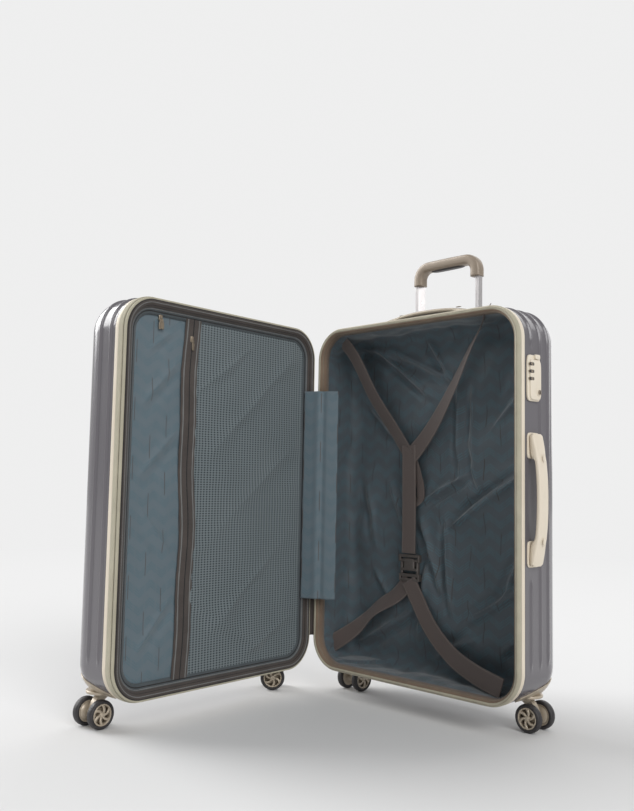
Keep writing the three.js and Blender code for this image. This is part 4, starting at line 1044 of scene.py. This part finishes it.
def webbing_cloth():
    """Woven webbing: fine ribs along the strap, crossed by a twill, with two stitched lines."""
    material = node_material("brown_webbing", (0.115, 0.09, 0.082), 0.72, sheen=0.2, specular=0.35)
    nodes = Nodes(material)
    parts = nodes.add("ShaderNodeSeparateXYZ", {0: nodes.uv()}).outputs
    ribs = nodes.maths("SINE", nodes.maths("MULTIPLY", parts[0], 3600.0))
    twill = nodes.maths("SINE", nodes.maths("ADD", nodes.maths("MULTIPLY", parts[0], 1800.0),
                                            nodes.maths("MULTIPLY", parts[1], 3000.0)))
    weave = nodes.maths("MULTIPLY", ribs, twill)
    edge = nodes.maths("ABSOLUTE", nodes.maths("SUBTRACT", nodes.maths("ABSOLUTE", parts[0]), 0.0155))
    on_seam = nodes.maths("LESS_THAN", edge, 0.0005)
    dashes = nodes.maths("LESS_THAN", nodes.maths("FRACT", nodes.maths("DIVIDE", parts[1], 0.004)), 0.7)
    thread = nodes.maths("MULTIPLY", on_seam, dashes)
    cloth = nodes.blend(nodes.span(weave, -1.0, 1.0), (0.075, 0.058, 0.053), (0.135, 0.107, 0.097))
    nodes.lead(nodes.blend(thread, cloth, (0.19, 0.16, 0.145)), "Base Color")
    nodes.bump(nodes.maths("ADD", weave, nodes.maths("MULTIPLY", thread, 2.0)), 0.0002, 0.7)
    return material


webbing_material = webbing_cloth()


def webbing(name, points, across, lift=0.0, half=WEBBING_HALF):
    """Flat webbing along a path: a thin rectangle with round edges, its width along across."""
    path, walked = smooth_path(points, 120)
    turn = np.arange(16) / 16 * 2 * math.pi
    x = half * squared(np.cos(turn), 0.35)
    y = WEBBING_THICK / 2 * squared(np.sin(turn), 0.5)
    place = on_back(path[:, 0], path[:, 1] - lift, path[:, 2])
    across = np.asarray(across, float)
    if across.ndim == 2:
        across = smooth_path(across, 120)[0]
    piece = swept(name, place, (x, y), across)
    verts = np.empty(len(piece.data.vertices) * 3, dtype=np.float32)
    piece.data.vertices.foreach_get("co", verts)
    verts = verts.reshape(-1, 3)
    nearest = np.argmin(np.linalg.norm(verts[:, None] - place[None], axis=2), 1)
    run = np.gradient(place, axis=0)
    run /= np.linalg.norm(run, axis=1)[:, None]
    side = np.broadcast_to(across, run.shape)
    side = side - np.einsum("ij,ij->i", side, run)[:, None] * run
    side /= np.linalg.norm(side, axis=1)[:, None]
    offset = np.einsum("ij,ij->i", verts - place[nearest], side[nearest]) * 1000
    set_uv(piece, offset, walked[nearest])
    return piece


upper_left = webbing("strap_upper_left", [
    (28, 36, BOTTOM + 692), (49, 42, BOTTOM + 670), (106, 70, BOTTOM + 556),
    (160, STRAP_DEPTH - 2, BOTTOM + 472), (STRAP_ACROSS, STRAP_DEPTH, MEET)], (1.0, -0.4, 0.55))
upper_right = webbing("strap_upper_right", [
    (424, 26, BOTTOM + 700), (405, 42, BOTTOM + 685), (359, 60, BOTTOM + 636),
    (312, 74, BOTTOM + 574), (230, STRAP_DEPTH - 3, BOTTOM + 472),
    (STRAP_ACROSS, STRAP_DEPTH, MEET)], [
    (0.4, -0.85, -0.25), (0.45, -0.8, -0.3), (0.55, -0.75, -0.35), (0.6, -0.7, -0.4),
    (0.75, -0.3, -0.55), (0.75, 0.0, -0.66)], 2.2)
middle_strap = webbing("strap_middle", [
    (STRAP_ACROSS - 1, STRAP_DEPTH, MEET + 26), (STRAP_ACROSS, STRAP_DEPTH, MEET - 30),
    (STRAP_ACROSS + 1, STRAP_DEPTH, MEET - 110), (STRAP_ACROSS, STRAP_DEPTH + 1, BOTTOM + 240)],
    (1.0, 0.0, 0.0), 4.2)
tail = webbing("strap_tail", [
    (STRAP_ACROSS + 8, STRAP_DEPTH + 1, MEET - 6), (STRAP_ACROSS + 17, STRAP_DEPTH + 3, MEET - 34),
    (STRAP_ACROSS + 24, STRAP_DEPTH + 4, MEET - 62),
    (STRAP_ACROSS + 22, STRAP_DEPTH + 4, MEET - 82),
    (STRAP_ACROSS + 8, STRAP_DEPTH + 2, MEET - 94)], (1.0, 0.0, 0.3), 0.0, 10)
lower_left = webbing("strap_lower_left", [
    (STRAP_ACROSS, STRAP_DEPTH, BOTTOM + 186), (160, STRAP_DEPTH, BOTTOM + 158),
    (106, 86, BOTTOM + 124), (60, 66, BOTTOM + 76), (8, 46, BOTTOM + 38)], [
    (0.9, 0.0, -0.4), (0.5, -0.5, -0.7), (0.3, -0.6, -0.7), (0.5, -0.3, -0.8), (0.6, 0.2, -0.7)])
lower_right = webbing("strap_lower_right", [
    (STRAP_ACROSS, STRAP_DEPTH, BOTTOM + 186), (206, STRAP_DEPTH, BOTTOM + 158),
    (250, 86, BOTTOM + 98), (312, 76, BOTTOM + 54), (378, 60, BOTTOM + 34),
    (450, 34, BOTTOM + 26)], (0.55, 0.05, 0.83), 2.2)
finish_piece(upper_left, webbing_material, "back_half", "strap", "cross_strap_upper")
for piece in (upper_right, middle_strap, tail):
    finish_piece(piece, webbing_material, "back_half", "strap")
finish_piece(lower_left, webbing_material, "back_half", "strap", "cross_strap_lower")
finish_piece(lower_right, webbing_material, "back_half", "strap")


def champagne_plastic(name, colour, roughness=0.34):
    """Pearly champagne moulding: tiny metallic flecks under a thin clear coat."""
    material = node_material(name, colour, roughness, metallic=0.25, coat=0.25)
    nodes = Nodes(material)
    where = nodes.place()
    fleck = nodes.span(nodes.noise(where, 3000.0, 1.0), 0.45, 0.75)
    light = tuple(min(1.0, channel * 1.22) for channel in colour)
    nodes.lead(nodes.blend(fleck, colour, light), "Base Color")
    nodes.lead(nodes.span(nodes.noise(where, 120.0, 3.0), 0.3, 0.7, roughness - 0.05,
                          roughness + 0.1), "Roughness")
    nodes.bump(nodes.noise(where, 2400.0), 0.00004, 0.3)
    return material


champagne = champagne_plastic("champagne_moulding", (0.44, 0.375, 0.29))
buckle_plastic = champagne_plastic("buckle_moulding", (0.10, 0.086, 0.078))
SOCKET_LOW, SOCKET_HIGH = (corner[2] * 1000 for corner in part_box("buckle_socket"))
PLUG_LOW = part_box("buckle_plug")[0][2] * 1000


def back_place(node):
    """The middle and the half size of a CAD node on the back half, as (s, d, z)."""
    low, high = (np.array(corner) * 1000 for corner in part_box(node))
    return (low + high) / 2 - (HINGE[0], HINGE[1], 0), (high - low) / 2


buckle_middle = back_place("buckle_socket")[0]


def buckle_block(across, height, half, power=0.35):
    """A rounded block of the buckle, at that distance across from the strap's middle."""
    return bean(on_back, (STRAP_ACROSS + across, buckle_middle[1], height), half, power)


socket_parts = [buckle_block(0, SOCKET_HIGH - 3.4, (26, 4.6, 3.4)),
                buckle_block(0, SOCKET_HIGH - 12.5, (26, 4.6, 2.8)),
                buckle_block(0, buckle_middle[2] - 4, (14, 5.2, 12.5)),
                buckle_block(0, SOCKET_LOW + 2.8, (24, 5.0, 2.8))]
plug_parts = [buckle_block(0, PLUG_LOW + 3.2, (26, 4.6, 3.2)),
              buckle_block(0, PLUG_LOW + 12, (26, 4.6, 3.4))]
for sign in (-1, 1):
    socket_parts.append(buckle_block(sign * 24, SOCKET_HIGH - 8, (2.6, 4.6, 7.5)))
    plug_parts.append(buckle_block(sign * 24, PLUG_LOW + 7.5, (2.6, 4.6, 7.0)))
    plug_parts.append(buckle_block(sign * 20.5, PLUG_LOW + 27, (3.2, 3.6, 14.5), 0.6))
finish_piece(solid_of("buckle_socket_body", socket_parts), buckle_plastic, "back_half",
             "champagne", "buckle_socket")
finish_piece(solid_of("buckle_plug_body", plug_parts), buckle_plastic, "buckle_tongue",
             "champagne", "buckle_plug")

# ---- Carry handles --------------------------------------------------------------------------
# Each handle is a soft bowed grip between two screwed-down feet: cream on the free side and
# champagne on the top. The grip is a flat bar whose ends turn down into the feet.
GRIP_WIDE = 28.0
GRIP_THICK = 9.0
GRIP_RISE = 24.5
END_RISE = 11.0
FOOT_RISE = 2.7
GAP_HALF = 66.0
soft_cream = moulded_cream()
soft_cream.name = "cream_grip_rubber"


def handle(name, place_of, length, body, material, slot_name, grip_node, foot_nodes):
    """A bowed grip and its feet. place_of(along, across, out) gives a place by the wall.

    The outer face is one bow from end to end. The inner face lies near the feet at the ends
    and eases up to the bar's thickness below the outer face over the finger gap.
    """
    share = np.sin(np.linspace(-1, 1, 96) * math.pi / 2)
    along = share * (length / 2 - 2)
    outer = END_RISE + (GRIP_RISE - END_RISE) * (1 - np.abs(share) ** 2.4)
    inner = FOOT_RISE + (outer - GRIP_THICK - FOOT_RISE) * (1 - ease(np.abs(along), GAP_HALF, GAP_HALF + 17))
    path = place_of(along, 0 * along, (outer + inner) / 2)
    across = place_of(0.0, 1.0, 0.0) - place_of(0.0, 0.0, 0.0)
    turn = (np.arange(24) / 24 * 2 * math.pi)[:, None]
    wide = GRIP_WIDE / 2 * (1 + 0.16 * ease(np.abs(share), 0.55, 0.9) - 0.3 * ease(np.abs(share), 0.97, 1.0))
    x = wide * squared(np.cos(turn), 0.45)
    y = (outer - inner) / 2 * squared(np.sin(turn), 0.5)
    grip = swept(name + "_bar", path, (x, y), across)
    finish_piece(grip, material, body, slot_name, grip_node)
    feet, dots = [], []
    for sign in (-1, 1):
        feet.append(bean(place_of, (sign * (length / 2 - 22), 0, 1.0), (23, 19, 1.5), 0.35))
        dots.append(bean(place_of, (sign * (length / 2 - 44), 0, GRIP_RISE - 0.9), (6.5, 3.6, 0.7), 0.9))
    finish_piece(solid_of(name + "_feet", feet), material, "back_half", slot_name, *foot_nodes)
    finish_piece(solid_of(name + "_marks", dots), material, body, slot_name)


side_low, side_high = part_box("side_handle_base_1")[0][2] * 1000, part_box("side_handle_base_2")[1][2] * 1000
side_middle = (RIGHT, back_place("side_handle_grip")[0][1], (side_low + side_high) / 2)
handle("side_handle", lambda along, across, out: on_back(
    side_middle[0] + out, side_middle[1] + across, side_middle[2] + along),
    side_high - side_low, "side_handle", soft_cream, "cream_plastic", "side_handle_grip",
    ("side_handle_base_1", "side_handle_base_2"))
champagne_grip = champagne_plastic("champagne_grip", (0.30, 0.255, 0.19), 0.42)
top_middle, top_half = back_place("top_handle_base")
handle("top_handle", lambda along, across, out: on_back(
    top_middle[0] + along, top_middle[1] + across, TOP + out),
    2 * top_half[0], "top_handle", champagne_grip, "grip_brown", "top_handle_grip",
    ("top_handle_base",))

# ---- Lock -----------------------------------------------------------------------------------
# A cream combination lock is riveted to the free wall: a low base, a raised plate with windows
# for three numbered wheels, a release button on top and a round boss with a keyhole.
LOCK_FACE = 8.4
lock_middle, lock_half = back_place("lock_body")
lock_out = lock_middle[0] + lock_half[0]
key_d, key_z = back_place("lock_key_plug")[0][1:]
lock_parts = [
    bean(on_back, (RIGHT + 2.2, *lock_middle[1:]), (2.4, *lock_half[1:]), 0.3, 18, 36),
    bean(on_back, (RIGHT + LOCK_FACE / 2, lock_middle[1] + 1, lock_middle[2] - 3),
         (LOCK_FACE / 2, lock_half[1] - 3.5, lock_half[2] - 5.5), 0.3, 22, 44),
    bean(on_back, (RIGHT + LOCK_FACE, key_d, key_z), (1.3, 6.6, 6.6), 0.75)]
finish_piece(solid_of("lock_case", lock_parts), cream, "back_half", "cream_plastic", "lock_body")
button = bean(on_back, back_place("lock_button")[0], (3.0, 7.5, 4.2), 0.4)
finish_piece(solid_of("lock_release_button", [button]), cream, "lock_release", "cream_plastic",
             "lock_button")
# Dark plastic for the trigger, also used as painted shade in the lock's number windows and keyhole.
dark_moulding = node_material("dark_moulding", (0.035, 0.03, 0.03), 0.4)
dark_nodes = Nodes(dark_moulding)
dark_grain = dark_nodes.noise(dark_nodes.place(), 1800.0)
dark_nodes.lead(dark_nodes.span(dark_grain, 0.3, 0.7, 0.32, 0.5), "Roughness")
dark_nodes.bump(dark_grain, 0.00005, 0.5)
DIAL_NOTCHES = 10
for number in (1, 2, 3):
    dial_s, dial_d, height = back_place(f"lock_dial_{number}")[0]
    # Each window is a thin near-black bean round its wheel: painted shade in the window's gap.
    window_shade = bean(on_back, (RIGHT + LOCK_FACE - 0.7, dial_d, height), (0.9, 6.6, 2.9), 0.4)
    finish_piece(solid_of(f"number_window_{number}", [window_shade]), dark_moulding, "back_half",
                 "dark_plastic")
    turn = np.arange(80) / 80 * 2 * math.pi
    notch = 6.3 - 0.55 * np.abs(np.cos(turn * DIAL_NOTCHES / 2)) ** 12
    rows_z = np.array([-2.2, -2.2, -1.7, 0, 1.7, 2.2, 2.2])[:, None]
    rows_r = np.array([0, 0.9, 1, 1, 1, 0.9, 0])[:, None] * notch
    dial = on_back(dial_s + rows_r * np.cos(turn), dial_d + rows_r * np.sin(turn), height + rows_z)
    finish_piece(solid_of(f"number_wheel_{number}", [dial]), pull_metal, f"dial_{number}",
                 "dark_plastic", f"lock_dial_{number}")
key_parts = [bean(on_back, (lock_out + 0.9, key_d, key_z), (0.9, 4.4, 4.4), 0.8)]
finish_piece(solid_of("key_plug_face", key_parts), pull_metal, "key_plug", "zip_metal",
             "lock_key_plug")
# The keyhole is a near-black bean on the plug face: painted shade of the key slot.
keyhole_shade_parts = [bean(on_back, (lock_out + 1.7, key_d, key_z), (0.5, 0.6, 2.8), 0.4)]
finish_piece(solid_of("key_slot", keyhole_shade_parts), dark_moulding, "key_plug", "dark_plastic")

# ---- Trolley --------------------------------------------------------------------------------
# Two bright tubes slide in fixed outer tubes behind the lining and end in a taupe grip with a
# crowned bar. A release trigger as long as a hand lies along the underside of the bar.
GRIP_LEG = 23.0
GRIP_BEND = 24.0
BAR_BELOW_TOP = 11.5
BAR_CROWN = 1.0
grip_middle, grip_half = back_place("trolley_grip")
leg_s = grip_half[0] - GRIP_LEG / 2
bar_z = grip_middle[2] + grip_half[2] - BAR_BELOW_TOP
leg_z = grip_middle[2] - grip_half[2]
bend = np.linspace(0, math.pi / 2, 18)
arm_s = np.concatenate([np.full(6, leg_s), leg_s - GRIP_BEND * (1 - np.cos(bend))])
arm_z = np.concatenate([np.linspace(leg_z, bar_z - GRIP_BEND - 1, 6),
                        bar_z - GRIP_BEND * (1 - np.sin(bend))])
bar_s = np.linspace(arm_s[-1], -arm_s[-1], 22)[1:-1]
path_s = np.concatenate([arm_s, bar_s, -arm_s[::-1]])
path_z = np.concatenate([arm_z, np.full(len(bar_s), bar_z), arm_z[::-1]])
path_z = path_z + BAR_CROWN * (1 - (path_s / leg_s) ** 2)
turn = (np.arange(24) / 24 * 2 * math.pi)[:, None]
on_leg = ease(np.abs(path_s), leg_s - 16, leg_s)
grip_x = 12.4 * squared(np.cos(turn), 0.6) + 0 * on_leg
grip_y = (10.6 + 0.6 * on_leg) * squared(np.sin(turn), 0.6)
taupe_grip = champagne_plastic("taupe_trolley_grip", (0.265, 0.215, 0.165), 0.46)
grip_path = on_back(grip_middle[0] + path_s, grip_middle[1] + 0 * path_s, path_z)
finish_piece(swept("trolley_handgrip", grip_path, (grip_x, grip_y), (0, 1, 0)), taupe_grip,
             "trolley", "grip_brown", "trolley_grip")
trigger_middle, trigger_half = back_place("trolley_button")
trigger = bean(on_back, trigger_middle + (0, 0, 1.0), trigger_half + (0, 2.2, 1.4), 0.45)
finish_piece(solid_of("trolley_release_trigger", [trigger]), dark_moulding, "trolley_trigger",
             "dark_plastic", "trolley_button")
satin_tube = brushed_metal("satin_trolley_tube", (0.62, 0.60, 0.60), 0.34)

# ---- Casters --------------------------------------------------------------------------------
# Four twin wheels turn under champagne housings that wrap the bottom corners. Each has a
# swivelling fork, two charcoal tyres and two champagne hubs with six swirled spokes.
HOUSING_PROUD = 1.8
HOUSING_BACK = 0.05
HOUSING_ARCH = 30.0
HOUSING_LEAST = 3.5
HOUSING_HANG = 4.2
HOUSING_SIDE_ROWS = 26
HUB_RADIUS = 18.7
SPOKES = 6
tyre_rubber = node_material("charcoal_tyre", (0.026, 0.024, 0.026), 0.5)
tyre_nodes = Nodes(tyre_rubber)
scuffs = tyre_nodes.noise(tyre_nodes.place(), 260.0, 5.0)
tyre_nodes.lead(tyre_nodes.span(scuffs, 0.35, 0.7, 0.42, 0.68), "Roughness")
tyre_nodes.lead(tyre_nodes.blend(tyre_nodes.span(scuffs, 0.45, 0.75), (0.022, 0.02, 0.022),
                                 (0.05, 0.046, 0.046)), "Base Color")
tyre_nodes.bump(scuffs, 0.0001, 0.4)


def housing_skin(place, at_hinge, half_depth, pivot_depth):
    """A skin over a bottom corner: the outline below an arched height, from low to high.

    Rows run behind the mouth and round the back edge; columns run up the outline from the
    well's roof to the arch, whose height eases upward from the band to the broad wall.
    """
    start = pivot_depth - WELL_RADIUS
    side = np.linspace(start, half_depth - BACK_EDGE, HOUSING_SIDE_ROWS)
    level = np.zeros(HOUSING_SIDE_ROWS)
    turn = np.linspace(0, math.pi / 2, 22)[1:]
    inset = np.concatenate([level, BACK_EDGE * (1 - np.cos(turn))])[:, None]
    depth = np.concatenate([side, half_depth - BACK_EDGE + BACK_EDGE * np.sin(turn)])[:, None]
    lean = np.concatenate([level, turn])[:, None]
    share = np.linspace(0, 1, 46)[None]
    rise = (depth - start) / (half_depth - start)
    swell = 0.55 + 0.45 * np.sin(math.pi / 2 * np.clip(rise * 1.3, 0, 1))
    arch = WELL_ROOF + HOUSING_LEAST + HOUSING_ARCH * np.clip(rise, 0, 1) ** 0.8 * swell
    radius = CORNER - inset
    low = np.arccos(np.clip((BOTTOM + CORNER - WELL_ROOF + HOUSING_HANG) / radius, -1, 1))
    high = np.arccos(np.clip((BOTTOM + CORNER - arch) / radius, -1, 1))
    angle = low + (high - low) * share
    grids = []
    for proud in (HOUSING_PROUD, HOUSING_BACK):
        reach = radius + proud * np.cos(lean)
        s = RIGHT - CORNER + reach * np.sin(angle)
        z = BOTTOM + CORNER - reach * np.cos(angle)
        s = LEFT + RIGHT - s if at_hinge else s
        grids.append(place(s, depth + proud * np.sin(lean) + 0 * angle, z))
    outer, inner = grids
    ring = np.concatenate([outer, inner[:, ::-1]], 1)
    first, last = (np.repeat(ring[k].mean(0)[None], ring.shape[1], 0)[None] for k in (0, -1))
    return np.concatenate([first, ring, last])


def disc(place, centre, radius, low, high, edge=1.4):
    """A flat round plate with rounded rims, about an upright axis."""
    turn = (np.arange(64) / 64 * 2 * math.pi)[None]
    rows = np.array([[0, low], [radius - edge, low], [radius - edge * 0.3, low + edge * 0.3],
                     [radius, low + edge], [radius, high - edge], [radius - edge * 0.3, high - edge * 0.3],
                     [radius - edge, high], [0, high]])
    return place(centre[0] + rows[:, :1] * np.cos(turn), centre[1] + rows[:, :1] * np.sin(turn), rows[:, 1:])


def turned(profile, middle, axle, ahead, upward, count=72):
    """A wheel part: (radius, offset) points turned about the axle through middle, in millimetres."""
    turn = (np.arange(count) / count * 2 * math.pi)[None, :, None]
    radius, offset = (np.array(profile, float)[:, i][:, None, None] for i in (0, 1))
    spot = middle + offset * axle + radius * (np.cos(turn) * ahead + np.sin(turn) * upward)
    return spot / 1000


def spoke(number, middle, axle, ahead, upward, outward):
    """One swirled spoke: a thin bar from the hub to the rim whose angle grows with its radius."""
    radius = np.linspace(4.5, HUB_RADIUS - 2.2, 12)
    angle = 2 * math.pi * number / SPOKES + 0.9 * ((radius - 4.5) / HUB_RADIUS) ** 1.2
    line = np.cos(angle)[:, None] * ahead + np.sin(angle)[:, None] * upward
    across = -np.sin(angle)[:, None] * ahead + np.cos(angle)[:, None] * upward
    wide = np.linspace(1.7, 3.0, 12)[:, None]
    crown = (4.6 + 0.5 * np.sin(math.pi * radius / HUB_RADIUS))[:, None]
    centre = middle + radius[:, None] * line + axle * outward * crown
    corner = [(-1, -1), (1, -1), (1, 1), (-1, 1)]
    ring = np.stack([centre + a * wide * across + b * 1.5 * axle for a, b in corner], 1)
    first, last = np.repeat(centre[None, :1], 4, 1), np.repeat(centre[None, -1:], 4, 1)
    return np.concatenate([first, ring, last]) / 1000


def wheel(caster, number):
    """A tyre with a rounded tread and a hub of a rim, swirled spokes and a domed cap."""
    joint = joints[f"{caster}_wheel_{number}_spin"]
    middle = np.array(joint["pos_m"]) * 1000
    axle = np.array(joint["axis"], float)
    fork_middle = np.array(joints[f"{caster}_swivel_turn"]["pos_m"]) * 1000
    outward = float(np.sign((middle - np.array([*fork_middle[:2], middle[2]])) @ axle))
    upward = np.array([0.0, 0.0, 1.0])
    ahead = np.cross(axle, upward)
    tread = [(18.9, -6.2), (20.4, -6.9), (22.6, -6.8), (24.1, -5.6), (24.8, -3.2), (25.0, 0.0),
             (24.8, 3.2), (24.1, 5.6), (22.6, 6.8), (20.4, 6.9), (18.9, 6.2), (18.9, -6.2)]
    tyre = turned(tread, middle, axle, ahead, upward)
    body = f"{caster}_wheel_{number}"
    piece = solid_of(f"{caster}_tyre_ring_{number}", [tyre])
    finish_piece(piece, tyre_rubber, body, "tyre", f"{caster}_tyre_{number}")
    rim = [(HUB_RADIUS, -5.6), (HUB_RADIUS, 5.9), (18.2, 6.4), (16.6, 6.4), (15.9, 5.4),
           (15.9, -5.6), (HUB_RADIUS, -5.6)]
    cap = [(0.0, -5.0), (5.6, -5.0), (5.8, 5.2), (5.0, 6.3), (3.2, 6.9), (0.0, 7.1)]
    plate = [(0.0, -5.4), (18.2, -5.4), (18.2, -4.2), (0.0, -4.2)]
    parts = [turned(np.array(profile) * (1, outward), middle, axle, ahead, upward)
             for profile in (rim, cap, plate)]
    parts += [spoke(k, middle, axle, ahead, upward, outward) for k in range(SPOKES)]
    hub = solid_of(f"{caster}_hub_wheel_{number}", parts)
    finish_piece(hub, champagne, body, "champagne", f"{caster}_hub_{number}")


for caster, place, body, half_depth, pivot_depth, at_hinge in (
        ("back_free", on_back, "back_half", BACK_DEPTH, BACK_PIVOT, False),
        ("back_hinge", on_back, "back_half", BACK_DEPTH, BACK_PIVOT, True),
        ("lid_free", on_lid, "lid", LID_DEPTH, LID_PIVOT, False),
        ("lid_hinge", on_lid, "lid", LID_DEPTH, LID_PIVOT, True)):
    pivot_s = LEFT + PIVOT_INSET if at_hinge else RIGHT - PIVOT_INSET
    skin = housing_skin(place, at_hinge, half_depth, pivot_depth)
    pad = disc(place, (pivot_s, pivot_depth), 30.0, WELL_ROOF - 5.0, WELL_ROOF + 0.2)
    finish_piece(solid_of(f"{caster}_corner_housing", [skin, pad]), champagne, body,
                 "champagne", f"{caster}_housing")
    for number in (1, 2):
        wheel(caster, number)

# ---- CAD nodes that stay --------------------------------------------------------------------
# Plain pieces whose design shape is already the real one keep it and take their finish here.
kept_finishes = {"tube": satin_tube, "champagne": champagne, "grip_brown": taupe_grip,
                 "cream_plastic": cream, "dark_plastic": dark_moulding, "shell": shell_material}
for subpart in frame["record"]["subparts"]:
    node = frame["nodes"][subpart["node"]]
    if subpart["material_slot"] in kept_finishes:
        node.data.materials.clear()
        node.data.materials.append(kept_finishes[subpart["material_slot"]])
